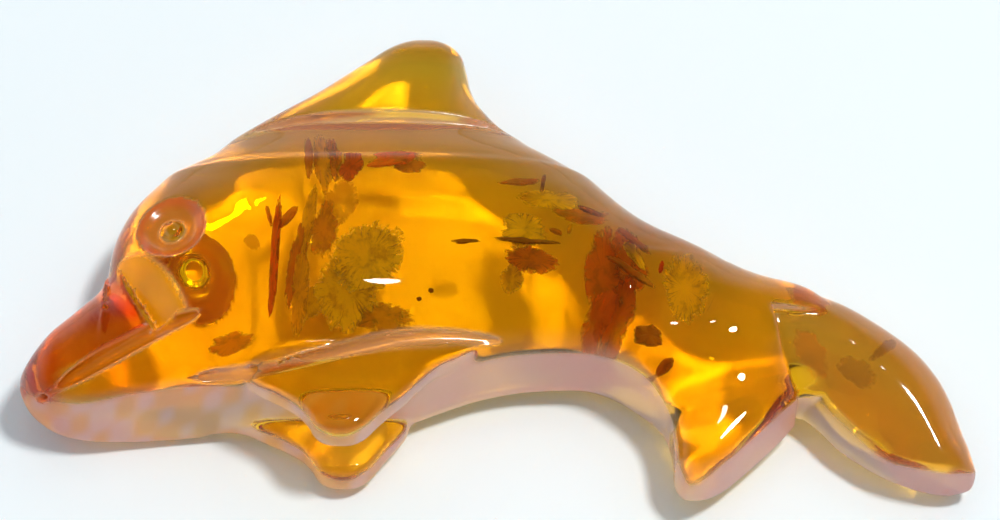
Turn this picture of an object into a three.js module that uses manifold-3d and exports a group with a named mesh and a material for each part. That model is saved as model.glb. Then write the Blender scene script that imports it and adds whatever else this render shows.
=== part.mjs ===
import * as THREE from 'three';
import { mergeVertices } from 'three/addons/utils/BufferGeometryUtils.js';
import Module from 'manifold-3d';

// A polished amber carving of a dolphin, lying on its right side.
// All sizes are in mm. X runs from the beak to the tail, Y towards the back fin, Z up.
// Most forms are oval ribs along a line: tables give their edges, half thickness and level.

// The height of the carving's middle plane, over the surface that it lies on
const MID = 5.0;
const FLAT_SPOT = 0.0;
const CUT_REACH = 20;

// How square the oval ribs are: 2 is an ellipse, and higher powers have fuller corners. The lower
// half, which lies on the table, is flatter and has fuller corners than the domed upper half.
const BODY_POWER = 2.3;
const LOWER_POWER = 3.6;
const BACK_FIN_POWER = 3.0;
const FLUKE_POWER = 2.2;
const LOWER_FLUKE_POWER = 3.4;
const SLAB_POWER = 3.4;
const GROOVE_POWER = 2;

// How finely each form is faceted: ribs along its length and corners around a rib
const TRUNK_FACETS = [40, 36];
const BEAK_FACETS = [18, 30];
const DORSAL_FACETS = [18, 28];
const FIN_FACETS = [18, 24];
const LEFT_FACETS = [18, 28];
const RIGHT_FACETS = [22, 28];
const GROOVE_FACETS = [16, 8];
const BELLY_WALL_STEPS = 76;
const FORK_STEPS = [8, 28];
const EYE_SIDES = 24;
const BOSS_FACETS = [14, 8];

// Trunk: tables of X against the back line, the belly line, and half the thickness over and under
// the middle plane
const TRUNK_FRONT = -22.85;
const TRUNK_REAR = 21.0;
const TRUNK_FRONT_ROUND = 4.5;
const TRUNK_FRONT_FULL = 0.6;
const TRUNK_LOWER_FRONT_FULL = 0.36;
const TRUNK_REAR_ROUND = 5.0;
const BACK_LINE = [
  [-23, 4.8], [-20, 4.95], [-17.5, 6.15], [-13.7, 7.95], [-10, 8.6], [-6, 8.75], [-2, 8.4],
  [0.6, 7.6], [2.6, 6.7], [5, 5.15], [7.3, 3.35], [9.7, 1.55], [11.5, 0.25], [13.2, -0.75],
  [15.6, -1.75], [18.5, -2.6], [21, -4.0],
];
const BELLY_LINE = [
  [-23, -9.2], [-20, -10.2], [-17.5, -10.8], [-14, -10.4], [-10, -9.9], [-5, -9.6], [-3.3, -9.0],
  [-1, -8.2], [1.4, -7.7], [3.8, -7.6], [5.6, -7.7], [7.3, -8.1], [9, -8.6], [12, -8.2],
  [15, -7.4], [18.5, -6.4], [21, -6.0],
];
const TRUNK_HALF = [
  [-23, 4.7], [-19, 5.0], [-14, 5.2], [-8, 5.2], [-2, 5.15], [2, 4.95], [5, 4.6], [8, 4.1],
  [11, 3.6], [14, 3.15], [18, 2.8], [21, 2.4],
];
const TRUNK_LOWER_HALF = [
  [-23, 4.6], [-19, 4.85], [-14, 4.95], [-8, 5.03], [-2, 4.93], [2, 4.75], [5, 4.45], [8, 4.0],
  [11, 3.5], [14, 3.1], [18, 2.75], [21, 2.4],
];

// Beak: tables of X against its upper side, its lower side, and half the thickness over and under
// the middle plane
const BEAK_TIP = -27.85;
const BEAK_ROOT = -15.5;
const BEAK_TIP_ROUND = 2.2;
const BEAK_ROOT_ROUND = 2.0;
const BEAK_UPPER = [
  [-28, -6.7], [-27, -5.95], [-25.2, -4.35], [-23, -2.5], [-20.5, -1.9], [-17, -2.2], [-15, -3.0],
];
const BEAK_LOWER = [
  [-28, -9.7], [-27, -10.25], [-25.2, -10.8], [-23, -11.0], [-20.5, -10.9], [-17, -10.4],
  [-15, -9.8],
];
const BEAK_HALF = [
  [-28, 2.2], [-27, 2.6], [-25.2, 3.1], [-23, 3.65], [-20.5, 4.05], [-17, 3.7], [-15, 3.0],
];
const BEAK_LOWER_HALF = [
  [-28, 2.2], [-27, 2.75], [-25.2, 3.55], [-23, 4.3], [-20.5, 4.85], [-17, 4.95], [-15, 4.5],
];

// The upright wall of the throat, the belly arch and the near side of the left fluke
const BELLY_WALL = [
  [-29, -9.3], [-26.7, -9.85], [-24.3, -10.4], [-20.8, -10.0], [-17.5, -9.65], [-14, -9.5],
  [-10, -9.45], [-6.5, -9.45], [-5, -9.25], [-3.3, -8.65], [-1, -7.85], [1.4, -7.35],
  [3.8, -7.25], [5.6, -7.35], [7.3, -7.85], [8.9, -8.95], [9.9, -10.4], [10.3, -12.2],
  [10.4, -13.6], [10.9, -15.0],
];

// Back fin: tables of Y against its front edge, its rear edge and half the thickness
const DORSAL_TOP = 14.6;
const DORSAL_ROOT = 4.5;
const DORSAL_ROUND = 1.6;
const DORSAL_ROOT_ROUND = 0.5;
const DORSAL_FRONT = [
  [4, -17.5], [7, -16.2], [8.4, -14.4], [10.4, -11.1], [12, -8.8], [13.2, -7.2], [14.7, -5.8],
];
const DORSAL_REAR = [
  [4, 2.6], [7, 1.6], [8.1, 0.5], [9.9, -1.0], [11, -1.5], [12.1, -1.75], [13.5, -2.1],
  [14.7, -2.7],
];
const DORSAL_HALF = [[4, 3.2], [8, 3.0], [11, 2.6], [14.7, 2.0]];

// Paired fins: tables of Y against their front edge, rear edge, half the thickness, and how far
// they lie over or under the middle plane
const FIN_TIP = -13.25;
const FIN_ROOT = -5.2;
const FIN_ROUND = 0.9;
const FIN_ROOT_ROUND = 1.5;
const UPPER_FIN_FRONT = [
  [-13.3, -10.3], [-12.7, -10.5], [-12, -10.85], [-11.3, -11.5], [-10.6, -12.6], [-9.9, -13.9],
  [-8.8, -14.6], [-7, -13.5], [-5, -12.0],
];
const LOWER_FIN_FRONT = [
  [-13.3, -10.3], [-12.7, -10.5], [-12, -10.85], [-11.3, -11.5], [-10.6, -12.7], [-9.9, -14.2],
  [-8.8, -16.0], [-7, -15.5], [-5, -14.0],
];
const UPPER_FIN_REAR = [
  [-13.3, -7.7], [-12.7, -7.45], [-12, -6.85], [-11.3, -6.1], [-10.6, -5.3], [-9.9, -4.6],
  [-8.8, -3.4], [-7.8, -1.8], [-7, -1.2], [-5, -3.2],
];
const LOWER_FIN_REAR = [
  [-13.3, -7.7], [-12.7, -7.45], [-12, -6.95], [-11.3, -6.4], [-10.6, -5.8], [-9.9, -5.3],
  [-8.8, -5.0], [-7, -4.8], [-5, -4.8],
];
const FIN_HALF = [[-13.3, 1.3], [-10, 1.4], [-8, 1.4], [-6.5, 1.0], [-5, 0.8]];
const FIN_LEVEL = [[-13.3, 3.0], [-10, 3.05], [-8, 2.95], [-6.5, 2.5], [-5, 2.0]];

// Left fluke: tables of Y against its left edge, right edge, half the thickness and level
const LEFT_TIP = -14.75;
const LEFT_ROOT = -1.2;
const LEFT_ROUND = 1.5;
const LEFT_ROOT_ROUND = 2.5;
const LEFT_NEAR = [
  [-14.8, 10.2], [-12.7, 10.0], [-11, 9.6], [-9.5, 8.6], [-8, 7.4], [-5, 7.6], [-1, 9.0],
];
const LEFT_FAR = [
  [-14.8, 12.4], [-12.7, 15.0], [-11, 16.8], [-9.5, 18.2], [-8, 18.3], [-5, 17.3], [-1, 15.6],
];
const LEFT_HALF = [[-14.8, 2.2], [-13, 2.7], [-11, 2.95], [-8, 3.05], [-4, 3.2], [-1, 2.9]];
const LEFT_LEVEL = [[-14.8, 4.1], [-11, 4.5], [-6, 4.75], [-1, 4.9]];

// Right fluke: a path of X and Y, and tables of the share of its length against half the width,
// half the thickness and the level. It is thicker towards the back by the lean, and its upper half
// falls to both sides of a soft ridge, like a roof. The crest tells how far across the ridge lies.
const RIGHT_PATH = [
  [13.6, -4.9], [17.2, -5.8], [20.4, -7.2], [22.85, -9.45], [24.8, -11.7], [26.4, -13.1],
  [27.9, -14.1],
];
const RIGHT_WIDE = [[0, 2.8], [0.2, 3.65], [0.4, 3.85], [0.6, 3.3], [0.8, 2.15], [0.92, 1.15], [1, 0.5]];
const RIGHT_HALF = [[0, 2.9], [0.3, 2.95], [0.55, 2.75], [0.8, 2.2], [1, 1.4]];
const RIGHT_LEVEL = [[0, 4.6], [0.3, 4.2], [0.6, 3.8], [1, 3.1]];
const RIGHT_CREST = [[0, 0.42], [0.45, 0.42], [0.65, 0.25], [0.8, 0], [1, 0]];
const RIGHT_ROUND = 0.14;
const RIGHT_LEAN = 0.25;
const RIGHT_ROOF = 0.3;
const RIGHT_RIDGE = 0.2;

// The bevel on the inner side of the right fluke: a point on it, the way it faces, and the
// upright plane where it stops near the fork
const BEVEL_POINT = [19.35, -9.05, 6.3];
const BEVEL_FACING = [-0.65, -0.685, 0.326];
const BEVEL_SIZE = 20;
const BEVEL_END_Y = -9.1;

// The edge of the tail step, and the fork between the flukes
const STEP_EDGE = [[15.9, -4.3], [17.7, -9.5], [18.4, -11.5]];
const STEP_FAR = [[24, -11.5], [24, -4.3]];
const FORK_LEFT = [[18.0, -9.2], [16.2, -11.1], [13.9, -13.3], [12.2, -15.2]];
const FORK_RIGHT = [
  [30, -13.1], [28.4, -13.35], [26.5, -13.75], [24.5, -13.45], [22, -12.6], [20.2, -11.4],
  [19, -10.0], [18.0, -9.2],
];

// Eyes: a turned dish of radius against height, with a round boss on its floor. The level is
// over or under the middle plane, and the tilts follow the cheek, which is flat on the lower side.
// The size is that of the dish, as a share of the table, and the boss is its own radius.
const UPPER_EYE = {
  side: 1, x: -19.05, y: 0.0, level: 4.75, tiltX: -0.12, tiltY: -0.17, size: 1, boss: 0.62,
};
const LOWER_EYE = {
  side: -1, x: -17.75, y: -0.25, level: 4.9, tiltX: -0.03, tiltY: -0.05, size: 1.12, boss: 0.8,
};
const EYE_DEPTH = 0.75;
const EYE_DISH = [[0, -EYE_DEPTH], [1.2, -EYE_DEPTH], [1.65, -0.5], [2.1, 0.1], [2.2, 1.5], [0, 1.5]];

// Grooves: stations of X, Y and Z on the upper side, with half the width and half the depth. The
// lower side has the back fin's groove only, mirrored.
const GROOVE_TAPER = 0.5;
const MOUTH_PATH = [
  [-17.2, -5.7, 9.6], [-20.0, -6.8, 9.3], [-22.5, -7.95, 8.6], [-24.6, -8.9, 7.6],
  [-26.7, -9.8, 6.4],
];
const MOUTH_WIDE = 0.5;
const MOUTH_DEEP = 0.6;
const DORSAL_GROOVE = [
  [-14.2, 7.5, 7.5], [-11, 7.85, 7.8], [-7, 7.95, 7.9], [-3, 7.9, 7.8], [0.8, 7.8, 6.9],
];
const DORSAL_GROOVE_WIDE = 0.5;
const DORSAL_GROOVE_DEEP = 0.5;
const FIN_GROOVE = [
  [-17.9, -9.1, 8.1], [-14, -9.0, 8.6], [-10, -8.2, 8.9], [-6, -7.2, 9.0], [-3, -6.8, 8.7],
  [0.2, -6.7, 8.0],
];
const FIN_GROOVE_WIDE = 0.5;
const FIN_GROOVE_DEEP = 0.5;

// The step behind the upper jaw, on the upper side: its bottom corner, its direction in degrees,
// its length, and its profile across the step against the height over the middle plane
const STEP_CORNER = [-22.9, -0.8];
const STEP_TURN = 31;
const STEP_LENGTH = 6.4;
const STEP_PROFILE = [[0, 3.45], [3.1, 6.0], [3.1, 9], [-1.2, 9], [-0.3, 3.8]];

const AMBER_COLOUR = 0xd98a12;
const AMBER_ROUGHNESS = 0.1;

// Points closer than this are one corner
const WELD = 1e-5;

const wasm = await Module();
wasm.setup();

// A smooth line through the rows of a table, read at any place
function read(table, at) {
  const last = table.length - 1;
  if (at <= table[0][0]) return table[0][1];
  if (at >= table[last][0]) return table[last][1];
  let i = 0;
  while (table[i + 1][0] < at) i += 1;
  const slope = (k) => {
    const a = Math.max(k - 1, 0);
    const b = Math.min(k + 1, last);
    return (table[b][1] - table[a][1]) / (table[b][0] - table[a][0]);
  };
  const gap = table[i + 1][0] - table[i][0];
  const t = (at - table[i][0]) / gap;
  const h1 = (1 + 2 * t) * (1 - t) * (1 - t);
  const h2 = t * (1 - t) * (1 - t);
  const h3 = t * t * (3 - 2 * t);
  const h4 = t * t * (t - 1);
  return h1 * table[i][1] + h2 * gap * slope(i) + h3 * table[i + 1][1] + h4 * gap * slope(i + 1);
}

// How full a rounded end is, from 0 at the very end to 1 at the end of the rounding
function endRound(distance, length) {
  const t = Math.min(Math.max(distance / length, 0), 1);
  return Math.sqrt(1 - (1 - t) * (1 - t));
}

function signedPower(value, power) {
  return Math.sign(value) * Math.abs(value) ** power;
}

function flatPoints(rows) {
  return rows.map(([x, y]) => new THREE.Vector2(x, y));
}

function flatCurve(rows) {
  return new THREE.SplineCurve(flatPoints(rows));
}

// How far one corner of an oval rib reaches sideways and up, by its angle round the rib. The lean
// makes one side thicker, and the roof lowers the sides of the upper half.
function ribCorner(rib, angle, power, lowerPower) {
  const above = angle <= Math.PI;
  const fullness = 2 / (above ? power : lowerPower);
  const across = signedPower(Math.cos(angle), fullness);
  const half = above ? rib.high : rib.low ?? rib.high;
  const lean = 1 + (rib.lean ?? 0) * across;
  const fromCrest = Math.hypot(across - (rib.crest ?? 0), RIGHT_RIDGE);
  const roof = above ? 1 - (rib.roof ?? 0) * fromCrest : 1;
  return { side: rib.wide * across, rise: half * lean * roof * signedPower(Math.sin(angle), fullness) };
}

// A closed skin over oval ribs. Each rib has a centre, a sideways direction, a width and a height,
// and perhaps a lean, or a roof with its crest. The ribs stand closer near both ends.
function loft(ribAt, [ribs, around], power, lowerPower = power) {
  const positions = [];
  const index = [];
  const first = ribAt(0);
  const last = ribAt(1);
  positions.push(first.x, first.y, first.z);
  for (let i = 1; i < ribs; i += 1) {
    const u = (1 - Math.cos((Math.PI * i) / ribs)) / 2;
    const rib = ribAt(u);
    for (let j = 0; j < around; j += 1) {
      const { side, rise } = ribCorner(rib, (2 * Math.PI * j) / around, power, lowerPower);
      positions.push(rib.x + rib.sideX * side, rib.y + rib.sideY * side, rib.z + rise);
    }
  }
  positions.push(last.x, last.y, last.z);
  const end = positions.length / 3 - 1;
  for (let j = 0; j < around; j += 1) {
    const k = (j + 1) % around;
    index.push(0, 1 + k, 1 + j);
    for (let i = 0; i < ribs - 2; i += 1) {
      const a = 1 + i * around;
      const b = a + around;
      index.push(a + j, a + k, b + j, a + k, b + k, b + j);
    }
    const a = 1 + (ribs - 2) * around;
    index.push(a + j, a + k, end);
  }
  const geometry = new THREE.BufferGeometry();
  geometry.setAttribute('position', new THREE.Float32BufferAttribute(positions, 3));
  geometry.setIndex(index);
  return geometry;
}

// A closed solid for joining and cutting, turned to face outward
function solid(geometry) {
  const bare = geometry.clone();
  bare.deleteAttribute('normal');
  bare.deleteAttribute('uv');
  const merged = mergeVertices(bare, WELD);
  const vertProperties = new Float32Array(merged.attributes.position.array);
  const triVerts = new Uint32Array(merged.index.array);
  if (signedVolume(vertProperties, triVerts) < 0) {
    for (let i = 0; i < triVerts.length; i += 3) {
      const held = triVerts[i];
      triVerts[i] = triVerts[i + 1];
      triVerts[i + 1] = held;
    }
  }
  return new wasm.Manifold(new wasm.Mesh({ numProp: 3, vertProperties, triVerts }));
}

function signedVolume(points, triangles) {
  let total = 0;
  const corner = (i) => new THREE.Vector3(points[3 * i], points[3 * i + 1], points[3 * i + 2]);
  for (let i = 0; i < triangles.length; i += 3) {
    const a = corner(triangles[i]);
    const b = corner(triangles[i + 1]);
    const c = corner(triangles[i + 2]);
    total += a.dot(b.cross(c)) / 6;
  }
  return total;
}

// Ribs that stand across X
function ribAlongX(x, upper, lower, half, round) {
  const top = read(upper, x);
  const low = read(lower, x);
  return {
    x, y: (top + low) / 2, z: MID, sideX: 0, sideY: 1,
    wide: ((top - low) / 2) * round, high: read(half, x) * round,
  };
}

// Ribs that stand across Y
function ribAlongY(y, left, right, high, level, round) {
  const a = read(left, y);
  const b = read(right, y);
  return {
    x: (a + b) / 2, y, z: level, sideX: 1, sideY: 0,
    wide: ((b - a) / 2) * round, high: high * round,
  };
}

// The head, the barrel and the tail stock, full at the forehead and slim at the tail. The forehead
// is blunter underneath.
function makeTrunk() {
  const length = TRUNK_REAR - TRUNK_FRONT;
  return solid(loft((u) => {
    const x = TRUNK_FRONT + length * u;
    const front = endRound(x - TRUNK_FRONT, TRUNK_FRONT_ROUND);
    const rear = endRound(TRUNK_REAR - x, TRUNK_REAR_ROUND);
    const rib = ribAlongX(x, BACK_LINE, BELLY_LINE, TRUNK_HALF, front * rear);
    rib.low = read(TRUNK_LOWER_HALF, x) * front * rear * front ** (TRUNK_LOWER_FRONT_FULL - 1);
    rib.high *= front ** (TRUNK_FRONT_FULL - 1);
    return rib;
  }, TRUNK_FACETS, BODY_POWER, LOWER_POWER));
}

function makeBeak() {
  const length = BEAK_ROOT - BEAK_TIP;
  return solid(loft((u) => {
    const x = BEAK_TIP + length * u;
    const tip = endRound(x - BEAK_TIP, BEAK_TIP_ROUND);
    const root = endRound(BEAK_ROOT - x, BEAK_ROOT_ROUND);
    const rib = ribAlongX(x, BEAK_UPPER, BEAK_LOWER, BEAK_HALF, tip * root);
    rib.low = read(BEAK_LOWER_HALF, x) * tip * root;
    return rib;
  }, BEAK_FACETS, BODY_POWER, LOWER_POWER));
}

function makeDorsal() {
  const length = DORSAL_TOP - DORSAL_ROOT;
  return solid(loft((u) => {
    const y = DORSAL_ROOT + length * u;
    const top = endRound(DORSAL_TOP - y, DORSAL_ROUND);
    const root = endRound(y - DORSAL_ROOT, DORSAL_ROOT_ROUND);
    return ribAlongY(y, DORSAL_FRONT, DORSAL_REAR, read(DORSAL_HALF, y), MID, top * root);
  }, DORSAL_FACETS, BACK_FIN_POWER, LOWER_POWER));
}

function makeFin(side) {
  const length = FIN_ROOT - FIN_TIP;
  const front = side > 0 ? UPPER_FIN_FRONT : LOWER_FIN_FRONT;
  const rear = side > 0 ? UPPER_FIN_REAR : LOWER_FIN_REAR;
  return solid(loft((u) => {
    const y = FIN_TIP + length * u;
    const tip = endRound(y - FIN_TIP, FIN_ROUND);
    const root = endRound(FIN_ROOT - y, FIN_ROOT_ROUND);
    const level = MID + side * read(FIN_LEVEL, y);
    return ribAlongY(y, front, rear, read(FIN_HALF, y), level, tip * root);
  }, FIN_FACETS, SLAB_POWER));
}

function makeLeftFluke() {
  const length = LEFT_ROOT - LEFT_TIP;
  return solid(loft((u) => {
    const y = LEFT_TIP + length * u;
    const tip = endRound(y - LEFT_TIP, LEFT_ROUND);
    const root = endRound(LEFT_ROOT - y, LEFT_ROOT_ROUND);
    return ribAlongY(y, LEFT_NEAR, LEFT_FAR, read(LEFT_HALF, y), read(LEFT_LEVEL, y), tip * root);
  }, LEFT_FACETS, FLUKE_POWER, LOWER_FLUKE_POWER));
}

function makeRightFluke() {
  const curve = flatCurve(RIGHT_PATH);
  return solid(loft((u) => {
    const point = curve.getPoint(u);
    const ahead = curve.getTangent(u);
    const round = endRound(1 - u, RIGHT_ROUND) * endRound(u, RIGHT_ROUND);
    return {
      x: point.x, y: point.y, z: read(RIGHT_LEVEL, u), sideX: -ahead.y, sideY: ahead.x,
      wide: read(RIGHT_WIDE, u) * round, high: read(RIGHT_HALF, u) * round,
      lean: RIGHT_LEAN, roof: RIGHT_ROOF, crest: read(RIGHT_CREST, u),
    };
  }, RIGHT_FACETS, FLUKE_POWER, LOWER_FLUKE_POWER));
}

// An upright cutter from an outline in the XY plane, tall enough to pass right through
function uprightCutter(points) {
  const shape = new THREE.Shape(points);
  const geometry = new THREE.ExtrudeGeometry(shape, { depth: CUT_REACH, bevelEnabled: false });
  geometry.translate(0, 0, MID - CUT_REACH / 2);
  return solid(geometry);
}

function makeBellyCutter() {
  const wall = flatCurve(BELLY_WALL).getPoints(BELLY_WALL_STEPS);
  const end = wall[wall.length - 1];
  wall.push(new THREE.Vector2(end.x, -CUT_REACH));
  wall.push(new THREE.Vector2(-2 * CUT_REACH, -CUT_REACH));
  wall.push(new THREE.Vector2(-2 * CUT_REACH, wall[0].y));
  return uprightCutter(wall);
}

function makeForkCutter() {
  const left = flatCurve(FORK_LEFT).getPoints(FORK_STEPS[0]);
  const right = flatCurve(FORK_RIGHT).getPoints(FORK_STEPS[1]);
  const low = [left[left.length - 1], right[0]].map(({ x }) => new THREE.Vector2(x, -CUT_REACH));
  return uprightCutter([...left, ...low, ...right.slice(0, -1)]);
}

function makeStepCutter() {
  return uprightCutter(flatPoints([...STEP_EDGE, ...STEP_FAR]));
}

// A leaning block that stops at an upright plane, so that the bevel ends at a corner near the fork
function makeBevelCutter() {
  const block = new THREE.BoxGeometry(BEVEL_SIZE, BEVEL_SIZE, BEVEL_SIZE);
  block.translate(0, 0, BEVEL_SIZE / 2);
  const facing = new THREE.Vector3(...BEVEL_FACING).normalize();
  block.applyQuaternion(new THREE.Quaternion().setFromUnitVectors(new THREE.Vector3(0, 0, 1), facing));
  block.translate(...BEVEL_POINT);
  const reach = new THREE.BoxGeometry(CUT_REACH, CUT_REACH, CUT_REACH);
  reach.translate(BEVEL_POINT[0], BEVEL_END_Y - CUT_REACH / 2, MID);
  return solid(block).intersect(solid(reach));
}

// A groove cutter that follows a path and tapers to a point at both ends. For the lower side it is
// mirrored in the middle plane.
function makeGroove(path, wide, deep, side) {
  const points = path.map(([x, y, z]) => new THREE.Vector3(x, y, MID + side * (z - MID)));
  const curve = new THREE.CatmullRomCurve3(points);
  return solid(loft((u) => {
    const point = curve.getPoint(u);
    const ahead = curve.getTangent(u);
    const flat = Math.hypot(ahead.x, ahead.y);
    const taper = Math.sin(Math.PI * u) ** GROOVE_TAPER;
    return {
      x: point.x, y: point.y, z: point.z, sideX: -ahead.y / flat, sideY: ahead.x / flat,
      wide: wide * taper, high: deep * taper,
    };
  }, GROOVE_FACETS, GROOVE_POWER));
}

// The sloping cut between the head and the upper jaw, with its short rise to the jaw
function makeBeakStep() {
  const shape = new THREE.Shape(flatPoints(STEP_PROFILE));
  const geometry = new THREE.ExtrudeGeometry(shape, { depth: STEP_LENGTH, bevelEnabled: false });
  const turn = THREE.MathUtils.degToRad(STEP_TURN);
  const across = new THREE.Vector3(Math.cos(turn), Math.sin(turn), 0);
  const along = new THREE.Vector3(Math.sin(turn), -Math.cos(turn), 0);
  geometry.applyMatrix4(new THREE.Matrix4().makeBasis(across, new THREE.Vector3(0, 0, 1), along));
  geometry.translate(STEP_CORNER[0], STEP_CORNER[1], MID);
  return solid(geometry);
}

function placeEye(geometry, eye) {
  geometry.rotateX(Math.PI / 2);
  geometry.rotateX(eye.tiltX);
  geometry.rotateY(eye.tiltY);
  geometry.translate(eye.x, eye.y, eye.level);
  geometry.scale(1, 1, eye.side);
  geometry.translate(0, 0, MID);
  return solid(geometry);
}

function makeEyeDish(eye) {
  const dish = new THREE.LatheGeometry(flatPoints(EYE_DISH), EYE_SIDES);
  dish.scale(eye.size, eye.size, eye.size);
  return placeEye(dish, eye);
}

function makeEyeBoss(eye) {
  const boss = new THREE.SphereGeometry(eye.boss, ...BOSS_FACETS);
  boss.translate(0, -EYE_DEPTH * eye.size, 0);
  return placeEye(boss, eye);
}

// The fin, the eye and the back fin's groove of one side
function addSide(body, eye) {
  return body
    .add(makeFin(eye.side))
    .subtract(makeEyeDish(eye))
    .add(makeEyeBoss(eye))
    .subtract(makeGroove(DORSAL_GROOVE, DORSAL_GROOVE_WIDE, DORSAL_GROOVE_DEEP, eye.side));
}

function makeDolphin() {
  let body = makeTrunk().add(makeBeak()).add(makeLeftFluke());
  body = body.subtract(makeStepCutter());
  body = body.subtract(makeBellyCutter());
  body = body.add(makeRightFluke().subtract(makeBevelCutter())).add(makeDorsal());
  body = body.subtract(makeForkCutter());
  body = addSide(addSide(body, UPPER_EYE), LOWER_EYE);
  body = body.subtract(makeBeakStep());
  body = body.subtract(makeGroove(FIN_GROOVE, FIN_GROOVE_WIDE, FIN_GROOVE_DEEP, UPPER_EYE.side));
  body = body.subtract(makeGroove(MOUTH_PATH, MOUTH_WIDE, MOUTH_DEEP, UPPER_EYE.side));
  const below = new THREE.BoxGeometry(4 * CUT_REACH, 3 * CUT_REACH, CUT_REACH);
  below.translate(0, 0, FLAT_SPOT - CUT_REACH / 2);
  return body.subtract(solid(below));
}

// The finished mesh, moved so that its box is centred on the origin in X and Y
function toMesh(name, manifold) {
  const mesh = manifold.getMesh();
  const geometry = new THREE.BufferGeometry();
  geometry.setAttribute('position', new THREE.BufferAttribute(new Float32Array(mesh.vertProperties), 3));
  geometry.setIndex(new THREE.BufferAttribute(new Uint32Array(mesh.triVerts), 1));
  geometry.computeBoundingBox();
  const middle = geometry.boundingBox.getCenter(new THREE.Vector3());
  geometry.translate(-middle.x, -middle.y, 0);
  geometry.computeVertexNormals();
  const material = new THREE.MeshStandardMaterial({
    color: AMBER_COLOUR, roughness: AMBER_ROUGHNESS, metalness: 0,
  });
  const result = new THREE.Mesh(geometry, material);
  result.name = name;
  return result;
}

const group = new THREE.Group();
group.add(toMesh('amber_dolphin', makeDolphin()));
export default group;
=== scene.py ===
# %% [markdown]
# A dolphin carved from clear amber
#
# The real thing is one lump of golden amber, about 56 mm long, ground and polished into a leaping
# dolphin that lies on its right side. Nothing is glued on. What makes it look like amber is light
# that goes in, is bent, loses its blue on the way and comes out somewhere else, and the stress discs
# inside it: fine round cracks that glitter like small suns.
#
# The lesson builds the body as a smooth distance field and polishes a mesh onto it, gives it a clear
# shader whose colour comes from depth, and then grows the stress discs inside it with Geometry Nodes.

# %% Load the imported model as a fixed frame
import math

import bpy
import numpy as np
from mathutils import Matrix, Vector
from mathutils.bvhtree import BVHTree


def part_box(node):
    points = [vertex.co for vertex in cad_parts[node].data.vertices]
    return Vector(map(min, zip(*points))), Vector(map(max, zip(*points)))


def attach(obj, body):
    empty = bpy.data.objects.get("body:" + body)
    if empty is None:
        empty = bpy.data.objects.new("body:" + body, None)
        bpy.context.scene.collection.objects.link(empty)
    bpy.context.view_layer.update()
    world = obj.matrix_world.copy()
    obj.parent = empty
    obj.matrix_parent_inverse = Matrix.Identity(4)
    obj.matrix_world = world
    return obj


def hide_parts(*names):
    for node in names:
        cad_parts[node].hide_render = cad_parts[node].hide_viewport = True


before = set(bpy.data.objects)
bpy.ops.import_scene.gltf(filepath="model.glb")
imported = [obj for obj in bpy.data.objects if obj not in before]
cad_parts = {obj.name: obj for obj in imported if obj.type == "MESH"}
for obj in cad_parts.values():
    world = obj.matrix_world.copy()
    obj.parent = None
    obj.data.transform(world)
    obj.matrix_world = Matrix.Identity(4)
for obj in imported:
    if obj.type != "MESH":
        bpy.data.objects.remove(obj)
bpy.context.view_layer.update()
low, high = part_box("amber_dolphin")
MM = 0.001
print("carving, mm:", [round((b - a) / MM, 1) for a, b in zip(low, high)])

# %% [markdown]
# The camera
#
# The picture looks down on the carving at 63 degrees from the belly side, from far away, with a long
# lens. A long lens keeps the near and far edges the same size. The aim is a point in the carving's
# middle plane, and the lens follows from how many millimetres the picture shows there.

# %% Set the camera
PICTURE = (1000, 520)
SENSOR = 36.0
AIM = Vector((-0.07, 0.075, 5.0)) * MM
AIM_PIXEL = (496.0, 261.6)
ELEVATION = math.radians(63.0)
DISTANCE = 0.300
PIXELS_PER_MM = 16.9

RIGHT = Vector((1.0, 0.0, 0.0))
FORWARD = Vector((0.0, math.cos(ELEVATION), -math.sin(ELEVATION)))
VIEW_UP = Vector((0.0, math.sin(ELEVATION), math.cos(ELEVATION)))
EYE = AIM - FORWARD * DISTANCE
FOCAL_PIXELS = PIXELS_PER_MM / MM * DISTANCE


def add_object(name, data):
    thing = bpy.data.objects.new(name, data)
    bpy.context.scene.collection.objects.link(thing)
    return thing


camera_data = bpy.data.cameras.new("camera")
camera_data.sensor_width = SENSOR
camera_data.lens = FOCAL_PIXELS * SENSOR / PICTURE[0]
camera_data.shift_x = (PICTURE[0] / 2 - AIM_PIXEL[0]) / PICTURE[0]
camera_data.shift_y = (AIM_PIXEL[1] - PICTURE[1] / 2) / PICTURE[0]
camera_data.clip_start = 0.01
camera_data.clip_end = 10.0
camera = add_object("camera", camera_data)
camera.location = EYE
camera.rotation_euler = (math.pi / 2 - ELEVATION, 0.0, 0.0)
bpy.context.scene.camera = camera
print("lens, mm:", round(camera_data.lens, 1))

# %% [markdown]
# Building node trees with a few helpers
#
# Shaders and Geometry Nodes are both trees of nodes. One helper adds a node, sets its options and
# either types a value into each input or links another node's output to it. Others stand on it for
# the nodes that come up most often. That keeps each tree short enough to read.

# %% Helpers that add a node
def plug(tree, socket, value):
    """Link another node's output to a socket, or type a value into it."""
    if isinstance(value, bpy.types.NodeSocket):
        tree.links.new(value, socket)
    else:
        socket.default_value = value


def add_node(tree, kind, inputs=None, **options):
    node = tree.nodes.new(kind)
    for name, value in options.items():
        setattr(node, name, value)
    for socket, value in (inputs or {}).items():
        plug(tree, node.inputs[socket], value)
    return node


def calculate(tree, operation, a, b):
    return add_node(tree, "ShaderNodeMath", {0: a, 1: b}, operation=operation).outputs[0]


def map_range(tree, value, start, end, least=0.0, most=1.0, **options):
    """A number that goes from least to most as the value goes from start to end."""
    limits = {"From Min": start, "From Max": end, "To Min": least, "To Max": most}
    return add_node(tree, "ShaderNodeMapRange", {"Value": value, **limits}, **options).outputs["Result"]


def new_material(name):
    material = bpy.data.materials.new(name)
    material.use_nodes = True
    material.node_tree.nodes.clear()
    return material


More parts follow.
